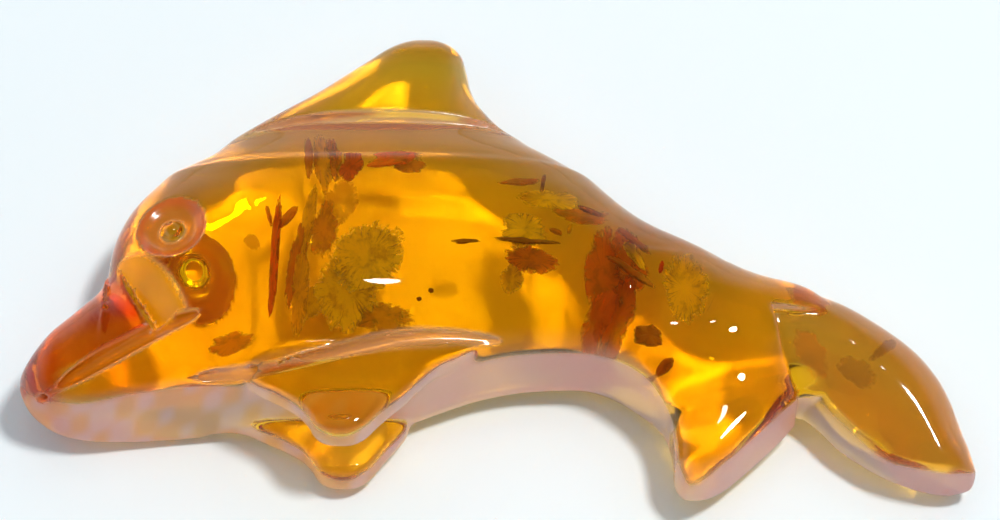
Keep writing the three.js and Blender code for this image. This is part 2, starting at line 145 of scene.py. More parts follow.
def finish_material(material, surface, volume=None):
    tree = material.node_tree
    output = tree.nodes.new("ShaderNodeOutputMaterial")
    tree.links.new(surface, output.inputs["Surface"])
    if volume is not None:
        tree.links.new(volume, output.inputs["Volume"])

# %% [markdown]
# The floor
#
# The carving lies on something smooth, pale and slightly blue. It matters more here than under most
# objects, because the amber is lit from below by it: what we see through the body is this floor.

# %% Make the pale floor
FLOOR_HALF = 1.5
FLOOR_GAP = 0.02 * MM
FLOOR_COLOUR = (0.875, 0.955, 0.99, 1.0)

floor_mesh = bpy.data.meshes.new("floor")
corners = [(-1, -1), (1, -1), (1, 1), (-1, 1)]
corners = [(x * FLOOR_HALF, y * FLOOR_HALF, -FLOOR_GAP) for x, y in corners]
floor_mesh.from_pydata(corners, [], [(0, 1, 2, 3)])
floor = add_object("floor", floor_mesh)
floor_look = new_material("pale_floor")
floor_shader = add_node(floor_look.node_tree, "ShaderNodeBsdfPrincipled", {
    "Base Color": FLOOR_COLOUR, "Roughness": 0.6, "Specular IOR Level": 0.2})
finish_material(floor_look, floor_shader.outputs[0])
floor_mesh.materials.append(floor_look)
print("floor, m:", 2 * FLOOR_HALF)

# %% [markdown]
# The light
#
# The small bright spots on the polish say where the lamps are: nearly overhead, the strong one a
# little to the right and a weak one a little to the back. The shadow falls to the left only. A wide
# panel overhead fills the shadows and lights the amber through its whole top. It is kept out of the
# mirror images, or it would lay a grey haze over the amber. The room is dark overhead for the same
# reason, and pale towards the horizon, where the rounded edges pick it up.

# %% Set the lamps
LAMPS = {
    "lamp": {"way": (0.27, -0.06, 0.96), "distance": 0.60, "size": 0.07, "power": 2.05,
             "colour": (1.0, 0.985, 0.96)},
    "second lamp": {"way": (0.0, 0.156, 0.988), "distance": 0.60, "size": 0.024, "power": 0.035,
                    "colour": (1.0, 1.0, 1.0)},
    "panel": {"way": (0.0, 0.0, 1.0), "distance": 0.70, "size": 1.30, "power": 2.95,
              "colour": (0.97, 0.99, 1.0)},
}


def add_lamp(name, way, distance, size, power, colour):
    data = bpy.data.lights.new(name, "AREA")
    data.shape = "DISK"
    data.size = size
    data.energy = power
    data.color = colour
    lamp = add_object(name, data)
    way = Vector(way).normalized()
    lamp.location = way * distance
    lamp.rotation_euler = way.to_track_quat("Z", "Y").to_euler()
    return lamp


lamps = {name: add_lamp(name, **values) for name, values in LAMPS.items()}
lamps["panel"].visible_glossy = False
print("lamps, W:", {name: values["power"] for name, values in LAMPS.items()})

# %% Make the room, pale at the horizon and dark overhead
ROOM_COLOUR = (0.80, 0.90, 1.0, 1.0)
HORIZON_STRENGTH = 0.75
ZENITH_STRENGTH = 0.03
HORIZON_TOP = 0.75
BACK_SHARE = 1.5
BACK_FADE = 0.5

world = bpy.data.worlds.new("room")
world.use_nodes = True
tree = world.node_tree
way = add_node(tree, "ShaderNodeTexCoord").outputs["Generated"]
parts = add_node(tree, "ShaderNodeSeparateXYZ", {"Vector": way}).outputs
glow = map_range(tree, parts["Z"], 0.0, HORIZON_TOP, HORIZON_STRENGTH, ZENITH_STRENGTH,
                 interpolation_type="SMOOTHSTEP")
back = map_range(tree, parts["Y"], -BACK_FADE, BACK_FADE, 1.0, BACK_SHARE)
background = tree.nodes["Background"].inputs
plug(tree, background["Color"], ROOM_COLOUR)
plug(tree, background["Strength"], calculate(tree, "MULTIPLY", glow, back))
bpy.context.scene.world = world
print("room strength, horizon and overhead:", HORIZON_STRENGTH, ZENITH_STRENGTH)

# %% [markdown]
# How light is followed through the amber
#
# Light that crosses the carving meets many polished faces, and much of the glow inside is light that
# the body itself has focused on the floor. So refracted caustics are on, and a path may cross many
# faces before it is given up. A plain view transform keeps the yellows as strong as they are.

# %% Let light cross many clear faces
cycles = bpy.context.scene.cycles
cycles.max_bounces = 24
cycles.transmission_bounces = 20
cycles.glossy_bounces = 8
cycles.diffuse_bounces = 4
cycles.transparent_max_bounces = 16
cycles.caustics_refractive = True
cycles.caustics_reflective = True
cycles.blur_glossy = 0.1
cycles.sample_clamp_indirect = 30.0
cycles.use_denoising = True
cycles.use_guiding = True
bpy.context.scene.view_settings.view_transform = "Standard"
bpy.context.scene.view_settings.look = "None"
print("bounces:", cycles.max_bounces)

# %% [markdown]
# The body: what shape it is
#
# A carver thinks of the dolphin as a few full, rounded forms that run into each other: the trunk, the
# beak, the back fin, two paired fins and two flukes. Each could be a subdivided cage, but then every
# place where two forms meet would need its own ring of faces, and a clear body shows every wobble.
#
# Here each form is a rule instead. It has oval ribs, and tables say where the ribs' edges are. The
# rule tells for any point in space whether it is inside the form and about how far from its skin.
# Rules like that can be joined, cut and rounded where they meet before there is any mesh at all.
# In the tables, x runs from the beak to the tail, y to the back, and z up from the lower side. MID is
# the height of the middle plane, and the upper and lower side of the carving lie over and under it.

# %% The forms' tables, in mm
MID = 5.0
BODY_POWER = 2.3
LOWER_POWER = 3.6
FIN_POWER = 3.0
FLUKE_POWER = 2.2
LOWER_FLUKE_POWER = 3.4
SLAB_POWER = 3.4

TRUNK = {
    "start": -22.85, "end": 21.0, "start_round": 4.5, "end_round": 5.0,
    "upper": [(-23, 4.8), (-20, 4.95), (-17.5, 6.15), (-13.7, 7.95), (-10, 8.6), (-6, 8.75),
              (-2, 8.4), (0.6, 7.6), (2.6, 6.7), (5, 5.15), (7.3, 3.35), (9.7, 1.55), (11.5, 0.25),
              (13.2, -0.75), (15.6, -1.75), (18.5, -2.6), (21, -4.0)],
    "lower": [(-23, -9.2), (-20, -10.2), (-17.5, -10.8), (-14, -10.4), (-10, -9.9), (-5, -9.6),
              (-3.3, -9.0), (-1, -8.2), (1.4, -7.7), (3.8, -7.6), (5.6, -7.7), (7.3, -8.1),
              (9, -8.6), (12, -8.2), (15, -7.4), (18.5, -6.4), (21, -6.0)],
    "half": [(-23, 4.7), (-19, 5.0), (-14, 5.2), (-8, 5.2), (-2, 5.15), (2, 4.95), (5, 4.6),
             (8, 4.1), (11, 3.6), (14, 3.15), (18, 2.8), (21, 2.4)],
    "lower half": [(-23, 4.6), (-19, 4.85), (-14, 4.95), (-8, 5.03), (-2, 4.93), (2, 4.75), (5, 4.45),
                   (8, 4.0), (11, 3.5), (14, 3.1), (18, 2.75), (21, 2.4)],
}
BEAK = {
    "start": -27.85, "end": -15.5, "start_round": 2.2, "end_round": 2.0,
    "upper": [(-28, -6.7), (-27, -5.95), (-25.2, -4.35), (-23, -2.5), (-20.5, -1.9), (-17, -2.2),
              (-15, -3.0)],
    "lower": [(-28, -9.7), (-27, -10.25), (-25.2, -10.8), (-23, -11.0), (-20.5, -10.9),
              (-17, -10.4), (-15, -9.8)],
    "half": [(-28, 2.2), (-27, 2.6), (-25.2, 3.1), (-23, 3.65), (-20.5, 4.05), (-17, 3.7),
             (-15, 3.0)],
    "lower half": [(-28, 2.2), (-27, 2.75), (-25.2, 3.55), (-23, 4.3), (-20.5, 4.85), (-17, 4.95),
                   (-15, 4.5)],
}
BACK_FIN = {
    "start": 4.5, "end": 14.6, "start_round": 0.5, "end_round": 1.6,
    "lower": [(4, -17.5), (7, -16.2), (8.4, -14.4), (10.4, -11.1), (12, -8.8), (13.2, -7.2),
              (14.7, -5.8)],
    "upper": [(4, 2.6), (7, 1.6), (8.1, 0.5), (9.9, -1.0), (11, -1.5), (12.1, -1.75),
              (13.5, -2.1), (14.7, -2.7)],
    "half": [(4, 3.2), (8, 3.0), (11, 2.6), (14.7, 2.0)],
    "level": [(4, 0.0), (14.7, 0.0)],
}
CHEST_FIN = {
    "start": -13.25, "end": -5.2, "start_round": 0.9, "end_round": 1.5,
    "half": [(-13.3, 1.3), (-10, 1.4), (-8, 1.4), (-6.5, 1.0), (-5, 0.8)],
    "level": [(-13.3, 3.0), (-10, 3.05), (-8, 2.95), (-6.5, 2.5), (-5, 2.0)],
}
NEAR_FIN = {
    **CHEST_FIN,
    "lower": [(-13.3, -10.3), (-12.7, -10.5), (-12, -10.85), (-11.3, -11.5), (-10.6, -12.6),
              (-9.9, -13.9), (-8.8, -14.6), (-7, -13.5), (-5, -12.0)],
    "upper": [(-13.3, -7.7), (-12.7, -7.45), (-12, -6.85), (-11.3, -6.1), (-10.6, -5.3),
              (-9.9, -4.6), (-8.8, -3.4), (-7.8, -1.8), (-7, -1.2), (-5, -3.2)],
}
FAR_FIN = {
    **CHEST_FIN,
    "lower": [(-13.3, -10.3), (-12.7, -10.5), (-12, -10.85), (-11.3, -11.5), (-10.6, -12.7),
              (-9.9, -14.2), (-8.8, -16.0), (-7, -15.5), (-5, -14.0)],
    "upper": [(-13.3, -7.7), (-12.7, -7.45), (-12, -6.95), (-11.3, -6.4), (-10.6, -5.8),
              (-9.9, -5.3), (-8.8, -5.0), (-7, -4.8), (-5, -4.8)],
}
LEFT_FLUKE = {
    "start": -14.75, "end": -1.2, "start_round": 1.5, "end_round": 2.5,
    "lower": [(-14.8, 10.2), (-12.7, 10.0), (-11, 9.6), (-9.5, 8.6), (-8, 7.4), (-5, 7.6),
              (-1, 9.0)],
    "upper": [(-14.8, 12.4), (-12.7, 15.0), (-11, 16.8), (-9.5, 18.2), (-8, 18.3), (-5, 17.3),
              (-1, 15.6)],
    "half": [(-14.8, 2.2), (-13, 2.7), (-11, 2.95), (-8, 3.05), (-4, 3.2), (-1, 2.9)],
    "level": [(-14.8, -0.9), (-11, -0.5), (-6, -0.25), (-1, -0.1)],
}
RIGHT_FLUKE = {
    "path": [(13.6, -4.9), (17.2, -5.8), (20.4, -7.2), (22.85, -9.45), (24.8, -11.7),
             (26.4, -13.1), (27.9, -14.1)],
    "wide": [(0, 2.8), (0.2, 3.65), (0.4, 3.85), (0.6, 3.3), (0.8, 2.15), (0.92, 1.15), (1, 0.5)],
    "half": [(0, 2.9), (0.3, 2.95), (0.55, 2.75), (0.8, 2.2), (1, 1.4)],
    "level": [(0, -0.4), (0.3, -0.8), (0.6, -1.2), (1, -1.9)],
    "crest": [(0, 0.42), (0.45, 0.42), (0.65, 0.25), (0.8, 0), (1, 0)],
    "round": 0.14, "lean": 0.25, "roof": 0.30, "ridge": 0.2,
}
FORMS = (TRUNK, BEAK, BACK_FIN, NEAR_FIN, FAR_FIN, LEFT_FLUKE, RIGHT_FLUKE)
print("forms with tables:", len(FORMS))

# %% [markdown]
# Reading a table
#
# A table gives a value at a few places, and a smooth curve through its rows gives it everywhere. The
# slope at a row is the slope between its two neighbours, so the curve never has a corner.

# %% Read a smooth line through a table
def smooth_between(t, a, b, slope_a, slope_b):
    """The curve from a to b that leaves and arrives with these slopes, as t goes from 0 to 1."""
    return ((1 + 2 * t) * (1 - t) ** 2 * a + t * (1 - t) ** 2 * slope_a
            + t * t * (3 - 2 * t) * b + t * t * (t - 1) * slope_b)


def read(table, at):
    place, value = np.array(table, dtype=np.float32).T
    row = np.arange(len(place))
    before = np.maximum(row - 1, 0)
    after = np.minimum(row + 1, len(place) - 1)
    slope = (value[after] - value[before]) / (place[after] - place[before])
    i = np.clip(np.searchsorted(place, at) - 1, 0, len(place) - 2)
    gap = place[i + 1] - place[i]
    t = np.clip((at - place[i]) / gap, 0, 1)
    return smooth_between(t, value[i], value[i + 1], gap * slope[i], gap * slope[i + 1])


def end_fill(distance, length):
    """How full a rounded end is: 1 well inside, 0 at the very end, below 0 past it."""
    t = np.minimum(distance / length, 1)
    return 1 - (1 - t) ** 2


def oval(side, rise, power):
    """0 on the axis and 1 on an oval rib; a higher power gives fuller corners."""
    return (np.abs(side) ** power + np.abs(rise) ** power) ** (2 / power)


print("the trunk's half thickness at x = 0, mm:", round(float(read(TRUNK["half"], np.float32(0))), 2))

# %% [markdown]
# A rule for each form
#
# A rule takes places (x, y, z) and returns a number that is below zero inside the form. Dividing by
# how fast that number changes turns it into a distance in millimetres, near enough for joining.

# %% Rules for forms with straight axes
FRONT_FULL = 0.2
LOWER_FRONT_FULL = 0.32
SLOPE_STEP = 0.02
LEAST_SLOPE = 0.02


def rib_rule(form, along, side, rise, power):
    """Below zero inside the form; rise is in halves of its thickness."""
    upper, lower = read(form["upper"], along), read(form["lower"], along)
    side = (side - (upper + lower) / 2) / ((upper - lower) / 2)
    fill = end_fill(along - form["start"], form["start_round"])
    fill = fill * end_fill(form["end"] - along, form["end_round"])
    return oval(side, rise, power) - fill


def over_or_under(z, over, under):
    return np.where(z > MID, over, under)


def half_at(form, x, z):
    """Half the form's thickness over or under the middle plane."""
    return over_or_under(z, read(form["half"], x), read(form["lower half"], x))


def trunk_rule(x, y, z):
    fill = np.maximum(end_fill(x - TRUNK["start"], TRUNK["start_round"]), 0)
    blunt = fill ** over_or_under(z, FRONT_FULL, LOWER_FRONT_FULL)
    rise = (z - MID) * blunt / half_at(TRUNK, x, z)
    return rib_rule(TRUNK, x, y, rise, over_or_under(z, BODY_POWER, LOWER_POWER))


def beak_rule(x, y, z):
    rise = (z - MID) / half_at(BEAK, x, z)
    return rib_rule(BEAK, x, y, rise, over_or_under(z, BODY_POWER, LOWER_POWER))


def rule_across(form, power, lower_power, side=1):
    """A form whose ribs follow Y; side is 1 over the middle plane and -1 under it."""
    def rule(x, y, z):
        rise = (side * (z - MID) - read(form["level"], y)) / read(form["half"], y)
        return rib_rule(form, y, x, rise, np.where(rise > 0, power, lower_power))
    return rule


def distance_to(rule, x, y, z):
    """The rule's value, scaled to millimetres."""
    slope_x = rule(x + SLOPE_STEP, y, z) - rule(x - SLOPE_STEP, y, z)
    slope_y = rule(x, y + SLOPE_STEP, z) - rule(x, y - SLOPE_STEP, z)
    slope_z = rule(x, y, z + SLOPE_STEP) - rule(x, y, z - SLOPE_STEP)
    slope = np.sqrt(slope_x ** 2 + slope_y ** 2 + slope_z ** 2) / (2 * SLOPE_STEP)
    return rule(x, y, z) / np.maximum(slope, LEAST_SLOPE)


print("the blunt front's fullness, over and under:", FRONT_FULL, LOWER_FRONT_FULL)

# %% [markdown]
# Curved paths
#
# The right fluke bends, and the belly wall and the tail's fork are curved cuts. For these a rule
# needs the nearest point of a path: how far along it lies, and how far to its left the place is.

# %% Find the nearest point of a curved path
def path_points(rows, steps_per_row):
    """Points of a smooth curve through the rows, evenly spread between each two rows."""
    rows = np.array(rows, dtype=np.float32)
    before = np.vstack([rows[:1], rows[:-1]])
    after = np.vstack([rows[1:], rows[-1:]])
    slope = (after - before) / 2
    t = (np.arange(steps_per_row) / steps_per_row)[:, None, None]
    points = smooth_between(t, rows[None, :-1], rows[None, 1:], slope[None, :-1], slope[None, 1:])
    return np.vstack([points.transpose(1, 0, 2).reshape(-1, 2), rows[-1:]]).astype(np.float32)


def nearest_on(points, x, y):
    """For each place: the share of the path's steps, and the distance to the path's left."""
    x, y = np.broadcast_arrays(x, y)
    start, run = points[:-1], np.diff(points, axis=0)
    length = np.hypot(run[:, 0], run[:, 1])
    ahead = run / length[:, None]
    dx = x[..., None] - start[:, 0]
    dy = y[..., None] - start[:, 1]
    along = dx * ahead[:, 0] + dy * ahead[:, 1]
    held = np.clip(along, 0, length)
    gap = np.hypot(dx - held * ahead[:, 0], dy - held * ahead[:, 1])
    i = np.argmin(gap, axis=-1)

    def pick(table):
        return np.take_along_axis(table, i[..., None], axis=-1)[..., 0]

    left = pick(dy * ahead[:, 0] - dx * ahead[:, 1])
    share = pick(along) / length[i]
    share = np.where(i > 0, np.maximum(share, 0), share)
    share = np.where(i < len(length) - 1, np.minimum(share, 1), share)
    return (i + share) / len(length), np.sign(left) * pick(gap)


RIGHT_POINTS = path_points(RIGHT_FLUKE["path"], 8)
FLUKE_REACH = 6.0
LEAST_RISE = 0.3


def right_fluke_rule(x, y, z):
    share, left = nearest_on(RIGHT_POINTS, x, y)
    side = np.clip(left, -FLUKE_REACH, FLUKE_REACH) / read(RIGHT_FLUKE["wide"], share)
    lean = np.maximum(1 + RIGHT_FLUKE["lean"] * side, LEAST_RISE)
    rise = (z - MID - read(RIGHT_FLUKE["level"], share)) / (read(RIGHT_FLUKE["half"], share) * lean)
    from_crest = np.hypot(side - read(RIGHT_FLUKE["crest"], share), RIGHT_FLUKE["ridge"])
    roof = np.maximum(1 - RIGHT_FLUKE["roof"] * from_crest, LEAST_RISE)
    rise = np.where(rise > 0, rise / roof, rise)
    fill = end_fill(share, RIGHT_FLUKE["round"]) * end_fill(1 - share, RIGHT_FLUKE["round"])
    return oval(side, rise, np.where(rise > 0, FLUKE_POWER, LOWER_FLUKE_POWER)) - fill


print("steps on the right fluke's path:", len(RIGHT_POINTS) - 1)

# %% [markdown]
# The cuts
#
# After the full forms the carver grinds and cuts: the upright wall of throat and belly, the fork
# between the flukes, the step and the bevel at the tail, the step behind the upper jaw, the mouth,
# and the grooves that set off the fins. A cut is a rule too, below zero where material goes.

# %% Places of the cuts, in mm
# The jaw's ramp, rise and wall are lines of the step's section: across it, and up from the middle
# plane. The eyes are those of the upper side, 1, and the lower side, -1. A dish's profile gives the
# height over the eye's middle for each distance from it.
BELLY_WALL = [
    (-29, -9.3), (-26.7, -9.85), (-24.3, -10.4), (-20.8, -10.0), (-17.5, -9.65), (-14, -9.5),
    (-10, -9.45), (-6.5, -9.45), (-5, -9.25), (-3.3, -8.65), (-1, -7.85), (1.4, -7.35),
    (3.8, -7.25), (5.6, -7.35), (7.3, -7.85), (8.9, -8.95), (9.9, -10.4), (10.3, -12.2),
    (10.4, -13.6), (10.9, -15.0)]
FORK_LEFT = [(18.0, -9.2), (16.2, -11.1), (13.9, -13.3), (12.2, -15.2)]
FORK_RIGHT = [(30, -13.1), (28.4, -13.35), (26.5, -13.75), (24.5, -13.45), (22, -12.6),
              (20.2, -11.4), (19, -10.0), (18.0, -9.2)]
TAIL_STEP = [(15.9, -4.3), (17.7, -9.5), (18.4, -11.5)]
TAIL_STEP_TOP = -4.3
BEVEL_POINT = (19.35, -9.05, 6.3)
BEVEL_FACING = np.array((-0.65, -0.685, 0.326)) / np.linalg.norm((-0.65, -0.685, 0.326))
BEVEL_END_Y = -9.1
JAW_CORNER = (-22.9, -0.8)
JAW_TURN = math.radians(31)
JAW_LENGTH = 6.4
JAW_RAMP = [(0.0, 3.45), (3.1, 6.0)]
JAW_RISE = [(-0.3, 3.8), (0.0, 3.45)]
JAW_WALL = [(-1.2, 9.0), (-0.3, 3.8)]
EYES = {
    1: {"middle": (-19.05, 0.0, 4.75), "facing": (-0.168, 0.120, 0.978), "size": 1.0, "boss": 0.62},
    -1: {"middle": (-17.75, -0.25, 4.9), "facing": (-0.05, 0.03, 0.998), "size": 1.12, "boss": 0.8},
}
EYE_DISH = [(0, -0.75), (1.2, -0.75), (1.65, -0.5), (2.1, 0.1), (2.2, 1.5)]
DISH_WALL_SLOPE = 8
DISH_SCALE = 0.7
FAR_EYE_LEFT = -18.85
FAR_EYE_SCALE = 0.6
GROOVES = {
    "mouth": {"wide": 0.5, "deep": 0.6,
              "y": [(-26.7, -9.8), (-24.6, -8.9), (-22.5, -7.95), (-20.0, -6.8), (-17.2, -5.7)],
              "z": [(-26.7, 1.4), (-24.6, 2.6), (-22.5, 3.6), (-20.0, 4.3), (-17.2, 4.6)]},
    "back fin": {"wide": 0.5, "deep": 0.5,
                 "y": [(-14.2, 7.5), (-11, 7.85), (-7, 7.95), (-3, 7.9), (0.8, 7.8)],
                 "z": [(-14.2, 2.5), (-11, 2.8), (-7, 2.9), (-3, 2.8), (0.8, 1.9)]},
    "chest fin": {"wide": 0.5, "deep": 0.5,
                  "y": [(-17.9, -9.1), (-14, -9.0), (-10, -8.2), (-6, -7.2), (-3, -6.8),
                        (0.2, -6.7)],
                  "z": [(-17.9, 3.1), (-14, 3.6), (-10, 3.9), (-6, 4.0), (-3, 3.7), (0.2, 3.0)]},
}
print("grooves on the upper side:", len(GROOVES))

# %% Rules of the cuts
WALL_POINTS = path_points(BELLY_WALL, 4)
FORK_LEFT_POINTS = path_points(FORK_LEFT, 4)
FORK_RIGHT_POINTS = path_points(FORK_RIGHT, 4)
LEAN_STEP = 0.1


def right_of(points, x, y):
    """Below zero on the right of a path, in its own direction."""
    return nearest_on(points, x, y)[1]


def right_of_line(a, b, x, y):
    """Below zero on the right of the straight line from a to b."""
    run = np.array(b) - np.array(a)
    return ((y - a[1]) * run[0] - (x - a[0]) * run[1]) / np.hypot(*run)


def fork_cut(x, y):
    return np.maximum(-right_of(FORK_LEFT_POINTS, x, y), -right_of(FORK_RIGHT_POINTS, x, y))


def tail_step_cut(x, y):
    return np.maximum(-right_of_line(TAIL_STEP[0], TAIL_STEP[1], x, y), y - TAIL_STEP_TOP)


def bevel_cut(x, y, z):
    depth = sum((place - point) * part for place, point, part in zip((x, y, z), BEVEL_POINT, BEVEL_FACING))
    return np.maximum(-depth, y - BEVEL_END_Y)


def from_jaw_corner(x, y):
    """How far a place is past the step behind the jaw, and how far down along it."""
    dx, dy = x - JAW_CORNER[0], y - JAW_CORNER[1]
    across = dx * math.cos(JAW_TURN) + dy * math.sin(JAW_TURN)
    return across, dx * math.sin(JAW_TURN) - dy * math.cos(JAW_TURN)


def jaw_cut(x, y, rise):
    across, down = from_jaw_corner(x, y)
    slope = -right_of_line(*JAW_RAMP, across, rise)
    wall = np.maximum(-right_of_line(*JAW_RISE, across, rise), -right_of_line(*JAW_WALL, across, rise))
    return np.maximum(np.maximum(slope, wall), np.maximum(-down, down - JAW_LENGTH))


def groove_cut(groove, x, y, rise):
    path_y, path_z = read(groove["y"], x), read(groove["z"], x)
    lean = (read(groove["y"], x + LEAN_STEP) - read(groove["y"], x - LEAN_STEP)) / (2 * LEAN_STEP)
    side = (y - path_y) / np.sqrt(1 + lean ** 2)
    start, end = groove["y"][0][0], groove["y"][-1][0]
    share = (x - start) / (end - start)
    taper = np.sqrt(np.maximum(np.sin(math.pi * np.clip(share, 0, 1)), 0))
    past = np.maximum(np.maximum(-share, share - 1), 0) * (end - start)
    hole = np.sqrt((side / groove["wide"]) ** 2 + ((rise - path_z) / groove["deep"]) ** 2)
    return (hole - taper) * groove["wide"] + past


def eye_cuts(side, x, y, rise):
    """The dish, below zero where material goes, and the boss on its floor. The far dish is cut off."""
    eye = EYES[side]
    way = [place - point for place, point in zip((x, y, rise), eye["middle"])]
    height = sum(part * facing for part, facing in zip(way, eye["facing"]))
    radius = np.sqrt(np.maximum(sum(part ** 2 for part in way) - height ** 2, 0))
    boss = np.hypot(radius, height - EYE_DISH[0][1] * eye["size"]) - eye["boss"]
    radius = radius / eye["size"]
    bottom = read(EYE_DISH, radius) + np.maximum(radius - EYE_DISH[-1][0], 0) * DISH_WALL_SLOPE
    dish = (bottom * eye["size"] - height) * DISH_SCALE
    if side < 0:
        dish = np.maximum(dish, (FAR_EYE_LEFT - x) * FAR_EYE_SCALE)
    return dish, boss


print("steps on the belly wall's path:", len(WALL_POINTS) - 1)

# %% [markdown]
# Joining and cutting with rounded edges
#
# The smaller of two distances joins two forms, and the larger cuts one from the other. A hard choice
# leaves a knife edge, which no polished amber has. Blending the two over a short reach rounds it, as
# the polishing cloth does: generously where the forms run together, and tightly at a cut.

# %% Join, cut and round
def fade(value, start, end):
    """0 at the start, 1 at the end and even in between; the end may be the smaller number."""
    return np.clip((value - start) / (end - start), 0, 1)


def waves(table, u, v):
    """A sum of waves; each row says how steep one is along u and v, and where it starts."""
    return sum(np.sin(a * u + b * v + start) for a, b, start in table)


def join(a, b, reach):
    near = np.maximum(reach - np.abs(a - b), 0) / reach
    return np.minimum(a, b) - near * near * reach / 4


def cut(a, hole, reach):
    return -join(-a, hole, reach)


FORM_REACH = 0.9
LOWER_REACH = 0.45
LOWER_REACH_DEPTH = 2
TAIL_REACH = 2.5
FIN_REACH = 0.4
WALL_REACH = 0.5
EDGE_REACH = 0.22
HAND_WAVES = [(0.93, 0.41, 0.6), (-0.37, 0.88, 2.1), (0.62, -0.71, 4.0)]
WAVE_HEIGHT = (0.005, 0.06)
WAVE_START = (1, 9)
CROWN_HEIGHT = 0.1
CROWN_MIDDLE = -8.4
CROWN_LENGTH = 6.0


def add_side(body, side, fin, x, y, z):
    """The paired fin, eye and grooves of one side; only the back fin's groove is on both sides."""
    rise = side * (z - MID)
    body = join(body, distance_to(rule_across(fin, SLAB_POWER, SLAB_POWER, side), x, y, z), FIN_REACH)
    dish, boss = eye_cuts(side, x, y, rise)
    body = join(cut(body, dish, EDGE_REACH), boss, EDGE_REACH)
    if side > 0:
        body = cut(body, jaw_cut(x, y, rise), EDGE_REACH)
    for name, groove in GROOVES.items():
        if side > 0 or name == "back fin":
            body = cut(body, groove_cut(groove, x, y, rise), EDGE_REACH)
    return body


def hand_waves(x, y):
    """What polishing by hand leaves, in mm: a crown on the barrel, and waves at the tail."""
    height = WAVE_HEIGHT[0] + (WAVE_HEIGHT[1] - WAVE_HEIGHT[0]) * fade(x, *WAVE_START)
    crown = CROWN_HEIGHT * np.exp(-((x - CROWN_MIDDLE) / CROWN_LENGTH) ** 2)
    return height * waves(HAND_WAVES, x, y) - crown


def over_nose(x, z):
    """At least how far a place is over or under the trunk. Its blunt face needs this for a smooth join."""
    fill = np.clip(end_fill(x + FORM_REACH - TRUNK["start"], TRUNK["start_round"]), 0, 1)
    full = over_or_under(z, FRONT_FULL, LOWER_FRONT_FULL)
    return np.abs(z - MID) - half_at(TRUNK, x, z) * fill ** (0.5 - full)


def carving(x, y, z):
    """The distance in mm from places to the polished skin, below zero inside."""
    trunk = np.maximum(distance_to(trunk_rule, x, y, z), over_nose(x, z))
    reach = LOWER_REACH + (FORM_REACH - LOWER_REACH) * fade(z, MID - LOWER_REACH_DEPTH, MID)
    body = join(trunk, distance_to(beak_rule, x, y, z), reach)
    left_fluke = distance_to(rule_across(LEFT_FLUKE, FLUKE_POWER, LOWER_FLUKE_POWER), x, y, z)
    body = join(body, left_fluke, TAIL_REACH)
    body = cut(body, tail_step_cut(x, y), EDGE_REACH)
    body = cut(body, right_of(WALL_POINTS, x, y), WALL_REACH)
    away = np.abs(right_of(RIGHT_POINTS, x, y)) - FLUKE_REACH
    right_fluke = np.maximum(distance_to(right_fluke_rule, x, y, z), away)
    right_fluke = cut(right_fluke, bevel_cut(x, y, z), EDGE_REACH)
    body = join(body, right_fluke, EDGE_REACH)
    back_fin = distance_to(rule_across(BACK_FIN, FIN_POWER, LOWER_POWER), x, y, z)
    body = join(body, back_fin, FORM_REACH)
    body = cut(body + hand_waves(x, y), fork_cut(x, y), WALL_REACH)
    body = add_side(body, 1, NEAR_FIN, x, y, z)
    body = add_side(body, -1, FAR_FIN, x, y, z)
    return cut(body, z, EDGE_REACH)


print("from the barrel's middle to the skin, mm:", round(-float(carving(-8.0, 0.0, MID)), 2))

# %% [markdown]
# From the rule to a mesh
#
# The rule is measured on a fine grid of points. Each small cube of the grid that the skin passes
# through gets one vertex, at the middle of where the skin crosses its edges, and each grid edge that
# the skin crosses gets one face between the four cubes around it. The result is all quads and closed.

# %% Wrap a net of quads round the skin
CORNERS = [(i, j, k) for k in (0, 1) for j in (0, 1) for i in (0, 1)]
UNIT = np.eye(3, dtype=int)
CUBE_EDGES = [(start, start + UNIT[axis]) for axis in range(3) for start in CORNERS if start[axis] == 0]


def corner_of(field, corner):
    """The field at one corner of every cube."""
    return field[tuple(slice(c, n - 1 + c) for c, n in zip(corner, field.shape))]


def wrap(field, origin, step):
    inside = field < 0
    count = sum(corner_of(inside, corner).astype(np.int8) for corner in CORNERS)
    crossed = (count > 0) & (count < 8)
    number = np.full(crossed.shape, -1, dtype=np.int64)
    number[crossed] = np.arange(crossed.sum())
    cubes = np.argwhere(crossed).astype(np.float32)
    total = np.zeros_like(cubes)
    hits = np.zeros(len(cubes), dtype=np.float32)
    for a, b in CUBE_EDGES:
        value_a = corner_of(field, a)[crossed]
        value_b = corner_of(field, b)[crossed]
        hit = (value_a < 0) != (value_b < 0)
        share = np.where(hit, value_a / np.where(hit, value_a - value_b, 1), 0)[:, None]
        point = a + share * np.subtract(b, a)
        total += np.where(hit[:, None], point, 0)
        hits += hit
    vertices = origin + (cubes + total / hits[:, None]) * step
    return vertices, net_quads(inside, number)


def net_quads(inside, number):
    """A face round every grid edge that the skin crosses, turned to face outwards."""
    quads = []
    for axis in range(3):
        ahead = [slice(1, -1)] * 3
        ahead[axis] = slice(0, -1)
        here = inside[tuple(ahead)]
        ahead[axis] = slice(1, None)
        base = np.nonzero(here != inside[tuple(ahead)])
        u, v = UNIT[(axis + 1) % 3], UNIT[(axis + 2) % 3]
        around = (0 * u, u, u + v, v)
        faces = np.stack([number[tuple(np.stack(base) + cube[:, None])] for cube in around], axis=1)
        inward = ~here[base]
        faces[inward] = faces[inward][:, ::-1]
        quads.append(faces)
    return np.concatenate(quads)


